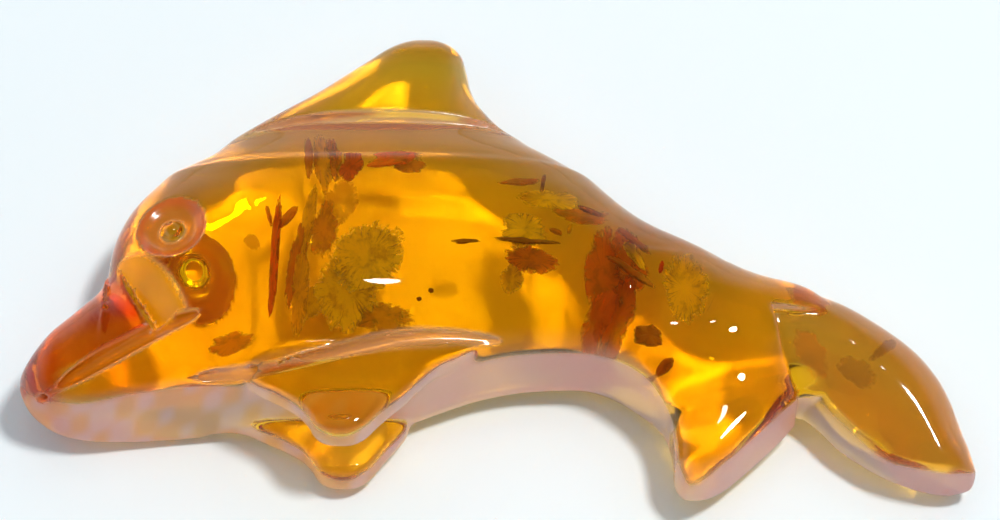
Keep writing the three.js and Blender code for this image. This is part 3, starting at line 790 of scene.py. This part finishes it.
GRID_STEP = 0.21
GRID_LOW = np.array((-28.6, -15.4, -0.5), dtype=np.float32)
GRID_HIGH = np.array((28.6, 15.2, 11.0), dtype=np.float32)
grid_x, grid_y, grid_z = [
    np.arange(a, b, GRID_STEP, dtype=np.float32) for a, b in zip(GRID_LOW, GRID_HIGH)]
field = carving(grid_x[:, None, None], grid_y[None, :, None], grid_z[None, None, :])
vertices, quads = wrap(field, GRID_LOW, GRID_STEP)
print("net:", len(vertices), "vertices,", len(quads), "quads, volume grid", field.shape)

# %% [markdown]
# Polishing the net
#
# The net follows the skin only as well as the grid does. So each vertex first slides a little towards
# the middle of its neighbours, which evens out the faces, and is then pushed along the skin's own
# direction until the rule says zero. A few rounds of this leave an even skin, which is what a clear
# material needs: light bent by a wobble shows it far more than a painted surface does. One stray
# sliver of the net, over the tail stock, doesn't settle, and the largest push printed is the sliver's.

# %% Slide and push the vertices onto the skin
POLISH_ROUNDS = 4
SLIDE = 0.5


def sample(volume, points):
    """Read a grid of numbers at places between its points."""
    place = (points - GRID_LOW) / GRID_STEP
    base = np.clip(np.floor(place).astype(int), 0, np.array(volume.shape[:3]) - 2)
    share = place - base
    total = np.zeros((len(points), volume.shape[3]), dtype=np.float32)
    for corner in np.ndindex(2, 2, 2):
        weight = np.prod(np.where(corner, share, 1 - share), axis=1)
        total += weight[:, None] * volume[tuple((base + corner).T)]
    return total


def neighbour_middle(points, quads):
    total = np.zeros_like(points)
    count = np.zeros(len(points), dtype=np.float32)
    for a, b in ((0, 1), (1, 2), (2, 3), (3, 0)):
        for here, there in ((quads[:, a], quads[:, b]), (quads[:, b], quads[:, a])):
            for axis in range(3):
                total[:, axis] += np.bincount(here, points[there, axis], len(points))
            count += np.bincount(here, minlength=len(points))
    return total / count[:, None]


slope_grid = np.stack(np.gradient(field, GRID_STEP), axis=-1)
vertices = vertices.astype(np.float32)
for round_number in range(POLISH_ROUNDS):
    out = sample(slope_grid, vertices)
    out /= np.linalg.norm(out, axis=1, keepdims=True)
    value = carving(*vertices.T)
    vertices = vertices - out * value[:, None]
    if round_number < POLISH_ROUNDS - 1:
        slide = (neighbour_middle(vertices, quads) - vertices) * SLIDE
        slide -= out * (slide * out).sum(axis=1, keepdims=True)
        vertices = vertices + slide
print("largest last push, mm:", round(float(np.abs(value).max()), 4))

# %% [markdown]
# The body as an object
#
# The tables are in the carver's own millimetres. The frame's box touches the beak's tip and the left
# fluke's tip, so those two places give the shift from one to the other.

# %% Make the body
shift_x = low.x / MM - BEAK["start"]
shift_y = low.y / MM - LEFT_FLUKE["start"]
SHIFT = np.array((shift_x, shift_y, 0.0), dtype=np.float32)
body_mesh = bpy.data.meshes.new("amber_body")
body_mesh.from_pydata(((vertices + SHIFT) * MM).tolist(), [], quads.tolist())
body_mesh.shade_smooth()
body = add_object("amber_body", body_mesh)
print("body faces:", len(body_mesh.polygons), "shift, mm:", SHIFT.round(3).tolist())

# %% [markdown]
# Where the skin differs
#
# The domes are polished to a mirror, but the wheel can't reach into the eye rings, the mouth and the
# grooves, and the upright walls were only worked with the grinder. There the skin is satin, with brown
# in the grooves, and its pinkish lavender grey is painted sheen that stands in for the pale floor and
# room mirrored in that skin; in the back fin's groove it is a painted highlight. The right fluke's top
# has a little of the same satin and painted haze. The upper jaw has kept its old dark red crust. Head
# and tail have a deeper orange skin than the barrel, and skin that faces the back gets the same orange
# as painted shade on the rounded back rim. The face of the step behind the jaw is a fresh cut, matte
# and yellow.
#
# Each of the five is stored on the body's vertices as a share from 0 to 1, worked out with the same
# rules that made the cuts, so that it ends where the carved edges are.

# %% Mark the skin's five shares
# In a pair, the first number is where a share starts to show and the second where it is whole. Only
# SEEN_BELOW is a shift instead, in mm along x and y. WARM_PATCHES are waves over x and z.
UPRIGHT = (0.45, 0.25)
BELLY_SIDE = (-0.15, -0.25)
SKIN_BAND = (0.26, 0.10)
OFF_BOSS = (0.05, 0.25)
BEVEL_NEAR = (0.8, 0.9)
# Satin shares; their pinkish lavender tint is painted sheen, and in the back fin's groove a painted
# highlight.
GROUND_AND_SHEEN_SHARES = {"bevel": 0.35, "near eye": 0.05, "far eye": 0.05, "mouth": 0.1, "back fin": 0.6,
                 "chest fin": 0.2}
BROWN_SHARES = {"near eye": 0.95, "far eye": 0.8, "mouth": 1.0, "back fin": 0.25, "chest fin": 0.5}
# Satin and a painted reflection haze on the right fluke's top.
FLUKE_SATIN_AND_HAZE = 0.12
RED_PAST_STEP = (-0.3, -0.55)
RED_OVER_MOUTH = (0.45, 0.70)
RED_RIM = (1.45, 1.75)
RED_RIM_MOST = 0.75
RED_TIP = (-24.9, -25.9)
RED_OFF_WALL = 0.7
SEEN_BELOW = (0.3, 3.6)
WARM_HEAD = 0.27
WARM_HEAD_START = (-9.0, -13.0)
WARM_TAIL = 0.64
WARM_TAIL_START = (3.0, 9.0)
WARM_FLUKE = 1.0
WARM_WALL = 0.85
WARM_WALL_START = (-4.0, -9.0)
WARM_PATCHES = [(1.9, 0.8, 0.0), (3.1, -1.3, 1.0), (0.7, 0.0, 2.0)]
WARM_PATCH_NEAR = (-1.2, 0.8)
# Painted shade: skin facing the back is tinted deeper orange, which darkens the rounded back rim.
BACK_RIM_SHADE = 0.8
BACK_RIM_SHADE_FACING = (0.3, 0.7)
FRESH_FACING = 0.5


def at_skin(value):
    """1 where a cut's rule is about zero, which is where the skin is that cut's wall."""
    return fade(np.abs(value), *SKIN_BAND)


def in_cut(value):
    """1 inside a cut and on its walls."""
    return at_skin(np.maximum(value, 0))


def upright_walls(facing):
    """1 on upright skin that faces the belly side."""
    return fade(np.abs(facing[:, 2]), *UPRIGHT) * fade(facing[:, 1], *BELLY_SIDE)


def past_tail_step(x, y):
    return np.clip(right_of_line(TAIL_STEP[0], TAIL_STEP[1], x, y), 0, 1)


def carved_marks(x, y, z):
    """Where the skin is inside an eye ring or a groove."""
    marks = {}
    for name, side in (("near eye", 1), ("far eye", -1)):
        rise = side * (z - MID)
        dish, boss = eye_cuts(side, x, y, rise)
        marks[name] = in_cut(dish) * fade(boss, *OFF_BOSS) * (rise > 0)
    for name, groove in GROOVES.items():
        marks[name] = in_cut(groove_cut(groove, x, y, z - MID)) * (z > MID)
    below = in_cut(groove_cut(GROOVES["back fin"], x, y, MID - z)) * (z < MID)
    marks["back fin"] = np.maximum(marks["back fin"], below)
    return marks


# Satin skin, whose pinkish lavender tint is painted sheen and, on the right fluke, painted haze.
def ground_and_sheen_share(x, y, z, facing, marks):
    bevel = GROUND_AND_SHEEN_SHARES["bevel"] * fade(facing @ BEVEL_FACING, *BEVEL_NEAR) * (z > MID)
    fluke = FLUKE_SATIN_AND_HAZE * past_tail_step(x, y) * (facing[:, 2] > 0)
    carved = [GROUND_AND_SHEEN_SHARES[name] * mark for name, mark in marks.items()]
    return np.max([upright_walls(facing), bevel, fluke, *carved], axis=0)


def brown_share(marks):
    return np.max([BROWN_SHARES[name] * mark for name, mark in marks.items()], axis=0)


def red_share(x, y, z, facing, marks):
    """On the lower side it is moved to where the bent view from above meets that side."""
    x, y = x - SEEN_BELOW[0] * (z < MID), y - SEEN_BELOW[1] * (z < MID)
    over_mouth = y - read(GROOVES["mouth"]["y"], x)
    jaw = fade(from_jaw_corner(x, y)[0], *RED_PAST_STEP) * fade(over_mouth, *RED_OVER_MOUTH)
    from_eye = np.hypot(x - EYES[1]["middle"][0], y - EYES[1]["middle"][1])
    rim = RED_RIM_MOST * fade(from_eye, *RED_RIM) * marks["near eye"]
    tip = fade(x, *RED_TIP) * (1 - RED_OFF_WALL * upright_walls(facing))
    return np.max([jaw, tip, rim], axis=0)


def warm_and_back_shade_share(x, y, z, facing):
    """Head and tail are a deeper orange, the back rim gets the same orange as painted shade, and the
    throat's wall has kept uneven patches of the old skin.
    """
    walls = upright_walls(facing)
    head = WARM_HEAD * fade(x, *WARM_HEAD_START)
    tail = WARM_TAIL * fade(x, *WARM_TAIL_START)
    dome = np.max([head, tail, WARM_FLUKE * past_tail_step(x, y)], axis=0) * (1 - walls)
    patches = fade(waves(WARM_PATCHES, x, z), *WARM_PATCH_NEAR)
    throat = WARM_WALL * walls * fade(x, *WARM_WALL_START) * patches
    # Painted shade on the back rim.
    return np.max([dome, throat, BACK_RIM_SHADE * fade(facing[:, 1], *BACK_RIM_SHADE_FACING)], axis=0)


def fresh_share(x, y, z, facing):
    """The face of the step behind the jaw."""
    across = from_jaw_corner(x, y)[0]
    on_face = at_skin(right_of_line(*JAW_RAMP, across, z - MID)) * in_cut(jaw_cut(x, y, z - MID))
    return on_face * (across > 0) * (facing[:, 2] > FRESH_FACING)


def store(mesh, name, values, kind="FLOAT"):
    attribute = mesh.attributes.new(name, kind, "POINT")
    field_name = "value" if kind == "FLOAT" else "vector"
    attribute.data.foreach_set(field_name, np.array(values, dtype=np.float32).ravel())


places = vertices.T
skin_facing = sample(slope_grid, vertices)
skin_facing /= np.linalg.norm(skin_facing, axis=1, keepdims=True)
marks = carved_marks(*places)
store(body_mesh, "ground_and_sheen", ground_and_sheen_share(*places, skin_facing, marks))
store(body_mesh, "brown", brown_share(marks))
store(body_mesh, "red", red_share(*places, skin_facing, marks))
store(body_mesh, "warm_and_back_shade", warm_and_back_shade_share(*places, skin_facing))
store(body_mesh, "fresh", fresh_share(*places, skin_facing))
print("upright share of the skin:", round(float(upright_walls(skin_facing).mean()), 3))

# %% [markdown]
# The amber's finish
#
# Amber is clear, with an index of 1.54. Its colour comes from two places: an old skin that tints the
# light each time it passes, and the depth, which holds back blue and some green. Both are kept in one
# material, so the body stays one closed volume. The five shares change the skin's tint one after the
# other. On satin walls and grooves the pinkish lavender tint is painted sheen, and on the back rim the
# deeper orange is painted shade. Ground, fresh and brown skin is also satin and lets less light in.

# %% Make the amber
AMBER_INDEX = 1.54
AMBER_TINT = (1.0, 0.68, 0.30, 1.0)
AMBER_ABSORBS = (1.0, 0.97, 0.0, 1.0)
AMBER_DENSITY = 400.0
POLISHED_ROUGHNESS = 0.02
# Painted light in the tints: the pinkish lavender is painted sheen of the pale floor and room on satin
# skin, and the deeper orange also lies on the back rim as painted shade.
TINTS = {"ground_and_sheen": (1.0, 0.71, 0.76, 1.0), "warm_and_back_shade": (1.0, 0.55, 0.20, 1.0),
         "brown": (0.60, 0.17, 0.005, 1.0), "red": (0.72, 0.13, 0.03, 1.0),
         "fresh": (1.0, 0.40, 0.0, 1.0)}
SATIN = {"ground_and_sheen": {"roughness": 0.42, "clearness": 0.65},
         "fresh": {"roughness": 0.3, "clearness": 0.45},
         "brown": {"roughness": 0.2, "clearness": 0.3}}


def blend_colours(tree, share, start, end):
    mix = add_node(tree, "ShaderNodeMix", data_type="RGBA")
    sockets = {socket.identifier: socket for socket in mix.inputs}
    for name, value in (("Factor_Float", share), ("A_Color", start), ("B_Color", end)):
        plug(tree, sockets[name], value)
    return next(socket for socket in mix.outputs if socket.identifier == "Result_Color")


def stored(tree, name, output="Fac"):
    return add_node(tree, "ShaderNodeAttribute", attribute_name=name).outputs[output]


amber = new_material("clear_amber")
tree = amber.node_tree
shares = {name: stored(tree, name) for name in TINTS}
tint, roughness, clearness = AMBER_TINT, POLISHED_ROUGHNESS, 1.0
for name, share in shares.items():
    tint = blend_colours(tree, share, tint, TINTS[name])
for name, satin in SATIN.items():
    roughness = map_range(tree, shares[name], 0.0, 1.0, roughness, satin["roughness"])
    clearness = map_range(tree, shares[name], 0.0, 1.0, clearness, satin["clearness"])
surface = add_node(tree, "ShaderNodeBsdfPrincipled", {
    "Base Color": tint, "IOR": AMBER_INDEX, "Roughness": roughness, "Transmission Weight": clearness})
volume = add_node(tree, "ShaderNodeVolumeAbsorption", {"Color": AMBER_ABSORBS, "Density": AMBER_DENSITY})
finish_material(amber, surface.outputs[0], volume.outputs[0])
body_mesh.materials.append(amber)
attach(body, "root")
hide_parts("amber_dolphin")
print("amber index:", AMBER_INDEX)

# %% [markdown]
# Where the stress discs are
#
# Long ago small drops of water and air in the resin burst and left fine round cracks, the sun
# spangles. Seen from the front they are yellow fans with dark rays, and seen edge-on they are dark
# red needles. The small twig at the left is three of them edge-on.
#
# The picture tells where each one appears, but the amber bends the view. So each place is found as
# the eye finds it: a ray goes from the camera through the picture's point, bends at the skin, and goes
# on by the disc's depth.

# %% List the discs as the picture shows them
# Each row: across and down the picture in pixels, depth in mm, half length and half width in pixels,
# the turn of the long axis in degrees, then how red, how dark and how solid the disc is from 0 to 1.
DISCS = {
    "big fan": [
        (348, 288, 4.2, 38, 32, 70, 0, 0.1, 0.75), (368, 256, 3.4, 40, 33, 40, 0, 0, 0.8),
        (340, 202, 4.5, 22, 17, 70, 0.45, 0, 0.4), (324, 230, 5.0, 27, 15, 80, 0.55, 0.1, 0.55),
        (382, 317, 6.0, 30, 12, 0, 0.45, 0.5, 0.6), (311, 303, 4.6, 17, 13, 40, 0.05, 0, 0.65)],
    "standing strips": [
        (322, 163, 3.6, 32, 8, 96, 0.1, 0, 0.8), (308, 222, 4.0, 38, 6, 80, 0.15, 0, 0.75),
        (300, 292, 4.4, 40, 9, 84, 0.15, 0.1, 0.7), (296, 262, 5.2, 40, 8, 78, 0.8, 0.3, 0.7),
        (333, 160, 4.6, 24, 8, 100, 0.85, 0.3, 0.5), (309, 155, 4.6, 22, 4, 92, 0.85, 0.3, 0.6)],
    "ovals": [
        (351, 168, 2.6, 16, 11, 62, 0.85, 0.2, 0.9), (391, 159, 2.6, 25, 7, 9, 1, 0, 0.9),
        (410, 166, 3.4, 16, 9, 0, 0.7, 0.3, 0.6)],
    "twig": [
        (275, 254, 2.6, 61, 4.5, 85.5, 1, 0, 0.95), (288, 217, 2.7, 15, 4.5, 50, 0.85, 0.1, 0.85),
        (269, 216, 2.7, 12, 1.8, 103, 0.85, 0.1, 0.85), (252, 242, 3.5, 10, 7, 120, 0.6, 0.2, 0.3)],
    "middle right": [
        (524, 230, 3.2, 24, 17, -20, 0, 0, 0.8), (547, 200, 3.4, 30, 9, -8, 0.05, 0, 0.75),
        (580, 216, 4.2, 26, 7, -14, 0.8, 0.2, 0.65), (531, 260, 3.6, 28, 12, -12, 0.75, 0.2, 0.85),
        (512, 278, 4.2, 14, 11, 60, 0, 0, 0.7), (519, 182, 3.0, 19, 3.5, 0, 0.75, 0.4, 0.75),
        (543, 183, 3.0, 9, 2, 80, 0.8, 0.6, 0.75), (556, 232, 3.0, 7, 2.6, -25, 0.8, 0.5, 0.8),
        (570, 229, 3.0, 6, 2, 82, 0, 0, 0.8)],
    "needles": [
        (466, 241, 2.2, 14, 2.0, 2, 0.8, 0.85, 0.95), (527, 241, 2.0, 32, 2.2, -4, 0.8, 0.85, 0.95),
        (590, 211, 2.4, 14, 2.4, -24, 0.8, 0.7, 0.85), (634, 240, 2.4, 22, 3.6, -37, 0.9, 0.6, 0.85),
        (631, 271, 2.6, 30, 4.0, -32, 0.9, 0.6, 0.9)],
    "rear": [
        (634, 255, 2.8, 18, 4.5, -50, 0, 0, 0.85), (685, 289, 2.6, 34, 22, 104, 0, 0, 0.85),
        (605, 280, 5.6, 44, 17, 100, 0.85, 0.2, 0.6), (618, 318, 5.0, 36, 15, 85, 0.85, 0.3, 0.6),
        (598, 320, 4.0, 26, 14, 60, 0.9, 0.2, 0.5), (628, 262, 5.4, 30, 18, 120, 0.85, 0.1, 0.5),
        (648, 336, 3.2, 15, 9, -22, 0.8, 0.7, 0.8), (665, 367, 2.8, 10, 5, 45, 0.8, 0.5, 0.8),
        (661, 267, 2.4, 6, 2.5, 80, 1, 0, 0.9)],
    "tail": [
        (856, 372, 2.4, 22, 12, -38, 0.25, 0.5, 0.45), (884, 349, 1.8, 13, 6, 35, 0.45, 0.5, 0.4),
        (812, 355, 2.4, 30, 14, -60, 0.85, 0, 0.2), (812, 303, 1.8, 21, 9, -12, 0.9, 0.2, 0.45)],
    "chest": [
        (232, 344, 4.4, 26, 9, 14, 0.75, 0.1, 0.65), (431, 291, 3.0, 3, 2, 0, 0.8, 0.8, 0.9),
        (419, 299, 3.0, 2.5, 2, 0, 0.8, 0.8, 0.9)],
}
print("stress discs:", sum(len(rows) for rows in DISCS.values()))

# %% Find each disc's place and turn inside the amber
# A disc seen edge-on reaches this many of the picture's pixels inwards at most.
DISC_REACH_IN = 20.0
DISC_THICKNESS = 0.09
FACING_REACH = 5.0
tree_of_faces = BVHTree.FromPolygons([v.co for v in body_mesh.vertices], quads.tolist())


def eye_ray(across, down):
    """The direction from the camera through a point of the picture."""
    right = (across - AIM_PIXEL[0]) / FOCAL_PIXELS
    up = (AIM_PIXEL[1] - down) / FOCAL_PIXELS
    return (FORWARD + RIGHT * right + VIEW_UP * up).normalized()


def facing_at(across, down):
    """The skin's direction there, evened out over its neighbours."""
    total = Vector((0.0, 0.0, 0.0))
    for step_x in (-FACING_REACH, 0.0, FACING_REACH):
        for step_y in (-FACING_REACH, 0.0, FACING_REACH):
            facing = tree_of_faces.ray_cast(EYE, eye_ray(across + step_x, down + step_y))[1]
            total += facing or Vector((0.0, 0.0, 0.0))
    return total.normalized()


def look_inside(across, down, depth):
    """The place at a depth in mm behind a point of the picture, and the view's direction there."""
    ray = eye_ray(across, down)
    place = tree_of_faces.ray_cast(EYE, ray)[0]
    facing = facing_at(across, down)
    straight = ray.dot(facing)
    kept = math.sqrt(1 - (1 - straight ** 2) / AMBER_INDEX ** 2)
    bent = ray / AMBER_INDEX - facing * (straight / AMBER_INDEX + kept)
    return place + bent * depth * MM, bent.normalized()


def disc_axes(view, turn, flatness):
    """The disc's long axis and its facing, so that it looks as long and as narrow as listed."""
    across = (RIGHT - view * view.x).normalized()
    up = across.cross(view)
    long_axis = across * math.cos(turn) + up * math.sin(turn)
    short_axis = up * math.cos(turn) - across * math.sin(turn)
    tilt = math.acos(flatness)
    return long_axis, short_axis * math.sin(tilt) - view * math.cos(tilt)


def disc_frame(row):
    across, down, depth, half_long, half_wide, turn = row[:6]
    place, view = look_inside(across, down, depth)
    short = max(half_wide, min(half_long, DISC_REACH_IN))
    long_axis, facing = disc_axes(view, math.radians(turn), half_wide / short)
    turned = Matrix((long_axis, facing.cross(long_axis), facing)).transposed().to_euler()
    size = (half_long / PIXELS_PER_MM * MM, short / PIXELS_PER_MM * MM, DISC_THICKNESS * MM)
    return tuple(place), tuple(turned), size, tuple(facing), row[6:]


disc_frames = [disc_frame(row) for rows in DISCS.values() for row in rows]
print("deepest disc, mm over the floor:", round(min(row[0][2] for row in disc_frames) / MM, 2))

# %% [markdown]
# Growing the discs with Geometry Nodes
#
# Each disc is a flat lens placed on a point that knows its turn, size and look. A Geometry Nodes tree
# puts one lens on every point, makes the outlines lobed, as the cracks spread unevenly, and crumples
# the sheets a little, so that they catch the light in patches. Each vertex remembers where it was on
# the round lens, which the shader needs for the rays.

# %% Build the tree for the discs
FLAT = (1.0, 1.0, 0.0)
DISC_INPUTS = {"Lobes": 0.7, "Lobe Scale": 1.6, "Crumple": 0.25 * MM, "Crumple Scale": 900.0,
               "Segments": 56, "Rings": 12}


def new_geometry_tree(name, inputs):
    """A tree with geometry in and out, and a named input for each value."""
    tree = bpy.data.node_groups.new(name, "GeometryNodeTree")
    tree.interface.new_socket("Geometry", in_out="INPUT", socket_type="NodeSocketGeometry")
    for label, value in inputs.items():
        kind = "NodeSocketInt" if isinstance(value, int) else "NodeSocketFloat"
        tree.interface.new_socket(label, in_out="INPUT", socket_type=kind).default_value = value
    tree.interface.new_socket("Geometry", in_out="OUTPUT", socket_type="NodeSocketGeometry")
    return tree


def named(tree, name, kind="FLOAT_VECTOR"):
    node = add_node(tree, "GeometryNodeInputNamedAttribute", {"Name": name}, data_type=kind)
    return node.outputs["Attribute"]


def vector_math(tree, operation, a, b=None):
    """SCALE takes a number as b, and NORMALIZE and LENGTH take none."""
    inputs = {0: a}
    if b is not None:
        inputs["Scale" if operation == "SCALE" else 1] = b
    node = add_node(tree, "ShaderNodeVectorMath", inputs, operation=operation)
    return node.outputs["Value" if operation == "LENGTH" else "Vector"]


def noise(tree, place, seed, scale, detail, roughness=0.5):
    return add_node(tree, "ShaderNodeTexNoise", {
        "Vector": place, "W": seed, "Scale": scale, "Detail": detail, "Roughness": roughness},
        noise_dimensions="4D").outputs


def lobe_reach(tree, given, seed):
    """A number round 1 that changes with the direction from the disc's middle."""
    way = vector_math(tree, "NORMALIZE", vector_math(tree, "MULTIPLY", named(tree, "local"), FLAT))
    uneven = calculate(tree, "ADD", noise(tree, way, seed, given["Lobe Scale"], 3.0)["Fac"], -0.5)
    return calculate(tree, "ADD", calculate(tree, "MULTIPLY", uneven, given["Lobes"]), 1.0)


def on_geometry(tree, kind, geometry, inputs=None, **options):
    return add_node(tree, kind, {"Geometry": geometry, **(inputs or {})}, **options).outputs["Geometry"]


def disc_tree(material):
    tree = new_geometry_tree("stress discs", DISC_INPUTS)
    given = tree.nodes.new("NodeGroupInput").outputs
    position = tree.nodes.new("GeometryNodeInputPosition").outputs[0]
    lens = add_node(tree, "GeometryNodeMeshUVSphere", {
        "Segments": given["Segments"], "Rings": given["Rings"], "Radius": 1.0}).outputs["Mesh"]
    lens = on_geometry(tree, "GeometryNodeStoreNamedAttribute", lens, {
        "Name": "local", "Value": position}, data_type="FLOAT_VECTOR")
    turn = add_node(tree, "FunctionNodeEulerToRotation", {0: named(tree, "turn")}).outputs[0]
    placed = add_node(tree, "GeometryNodeInstanceOnPoints", {
        "Points": given["Geometry"], "Instance": lens, "Rotation": turn, "Scale": named(tree, "size")})
    real = on_geometry(tree, "GeometryNodeRealizeInstances", placed.outputs["Instances"])
    middle, seed = named(tree, "middle"), named(tree, "seed", "FLOAT")
    away = vector_math(tree, "SUBTRACT", position, middle)
    away = vector_math(tree, "SCALE", away, lobe_reach(tree, given, seed))
    crumple = noise(tree, position, seed, given["Crumple Scale"], 2.0)["Fac"]
    lift = calculate(tree, "MULTIPLY", calculate(tree, "ADD", crumple, -0.5), given["Crumple"])
    moved = on_geometry(tree, "GeometryNodeSetPosition", real, {
        "Position": vector_math(tree, "ADD", middle, away),
        "Offset": vector_math(tree, "SCALE", named(tree, "facing"), lift)})
    smooth = on_geometry(tree, "GeometryNodeSetShadeSmooth", moved)
    dressed = on_geometry(tree, "GeometryNodeSetMaterial", smooth, {"Material": material})
    tree.links.new(dressed, tree.nodes.new("NodeGroupOutput").inputs["Geometry"])
    return tree


print("faces of one disc, about:", DISC_INPUTS["Segments"] * DISC_INPUTS["Rings"])

# %% [markdown]
# The discs' finish
#
# A stress disc is a crack with fine rays that spread from its middle. From the front it glints yellow
# and olive, with brown between the rays. Turned away it is red. It doesn't cover what is behind it
# fully, so its cover is kept below 1 and its rim is ragged.

# %% Make the discs' material
DISC_YELLOW = (0.95, 0.76, 0.03, 1.0)
DISC_RED = (0.85, 0.13, 0.01, 1.0)
DISC_BROWN = (0.22, 0.10, 0.01, 1.0)
DISC_DARK = (0.10, 0.015, 0.005, 1.0)
RAY_COUNT = 7.0
RAY_BEND = 0.35
RAY_RANGE = (0.50, 0.68)
RAY_START = (0.15, 0.7)
PATCH_SCALE = 1300.0
PATCH_RANGE = (0.48, 0.62)
PATCH_MOST = 0.5
RAGGED_RIM = (2.0, 1.78)

disc_look = new_material("stress_disc")
tree = disc_look.node_tree
look = add_node(tree, "ShaderNodeSeparateXYZ", {"Vector": stored(tree, "look", "Vector")}).outputs
red, dark, solid = look["X"], look["Y"], look["Z"]
seed = stored(tree, "seed")
flat = vector_math(tree, "MULTIPLY", stored(tree, "local", "Vector"), FLAT)
ring = vector_math(tree, "LENGTH", flat)
place = add_node(tree, "ShaderNodeTexCoord").outputs["Object"]
patches = noise(tree, place, seed, PATCH_SCALE, 3.0, 0.6)
bend = vector_math(tree, "SCALE", patches["Color"], RAY_BEND)
ray_place = vector_math(tree, "ADD", vector_math(tree, "NORMALIZE", flat), bend)
rays = noise(tree, ray_place, seed, RAY_COUNT, 4.0, 0.65)["Fac"]
ray = calculate(tree, "MULTIPLY", map_range(tree, rays, *RAY_RANGE), map_range(tree, ring, *RAY_START))
patch = map_range(tree, patches["Fac"], *PATCH_RANGE, most=PATCH_MOST)
brown = calculate(tree, "MAXIMUM", ray, patch)
colour = blend_colours(tree, red, DISC_YELLOW, DISC_RED)
colour = blend_colours(tree, brown, colour, DISC_BROWN)
colour = blend_colours(tree, dark, colour, DISC_DARK)
ragged = calculate(tree, "ADD", calculate(tree, "ADD", rays, patches["Fac"]), ring)
cover = calculate(tree, "MULTIPLY", map_range(tree, ragged, *RAGGED_RIM), solid)
surface = add_node(tree, "ShaderNodeBsdfPrincipled", {
    "Base Color": colour, "Roughness": 0.4, "Alpha": cover})
finish_material(disc_look, surface.outputs[0])
print("rays round a disc, about:", int(RAY_COUNT * 2 * math.pi))

# %% Grow the discs on their points
SEED_STEP = 0.37


def plain_mesh(thing, name):
    """The evaluated mesh of an object, on its own, with the modifiers worked in."""
    bpy.context.view_layer.update()
    evaluated = thing.evaluated_get(bpy.context.evaluated_depsgraph_get())
    mesh = bpy.data.meshes.new_from_object(evaluated)
    mesh.name = name
    return mesh


disc_points = bpy.data.meshes.new("disc_points")
disc_points.from_pydata([row[0] for row in disc_frames], [], [])
for column, name in enumerate(("middle", "turn", "size", "facing", "look")):
    store(disc_points, name, [row[column] for row in disc_frames], "FLOAT_VECTOR")
store(disc_points, "seed", [SEED_STEP * number for number in range(len(disc_frames))])
discs = add_object("stress_discs", disc_points)
grow = discs.modifiers.new("grow", "NODES")
grow.node_group = disc_tree(disc_look)
for item in grow.node_group.interface.items_tree:
    if item.name in DISC_INPUTS:
        grow[item.identifier] = DISC_INPUTS[item.name]
disc_mesh = plain_mesh(discs, "stress_discs")
discs.modifiers.clear()
discs.data = disc_mesh
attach(discs, "root")
disc_places = np.array([v.co for v in disc_mesh.vertices], dtype=np.float32) / MM - SHIFT
to_skin = -carving(*disc_places.astype(np.float32).T).max()
print("disc faces:", len(disc_mesh.polygons), "nearest to the skin, mm:", round(float(to_skin), 2))
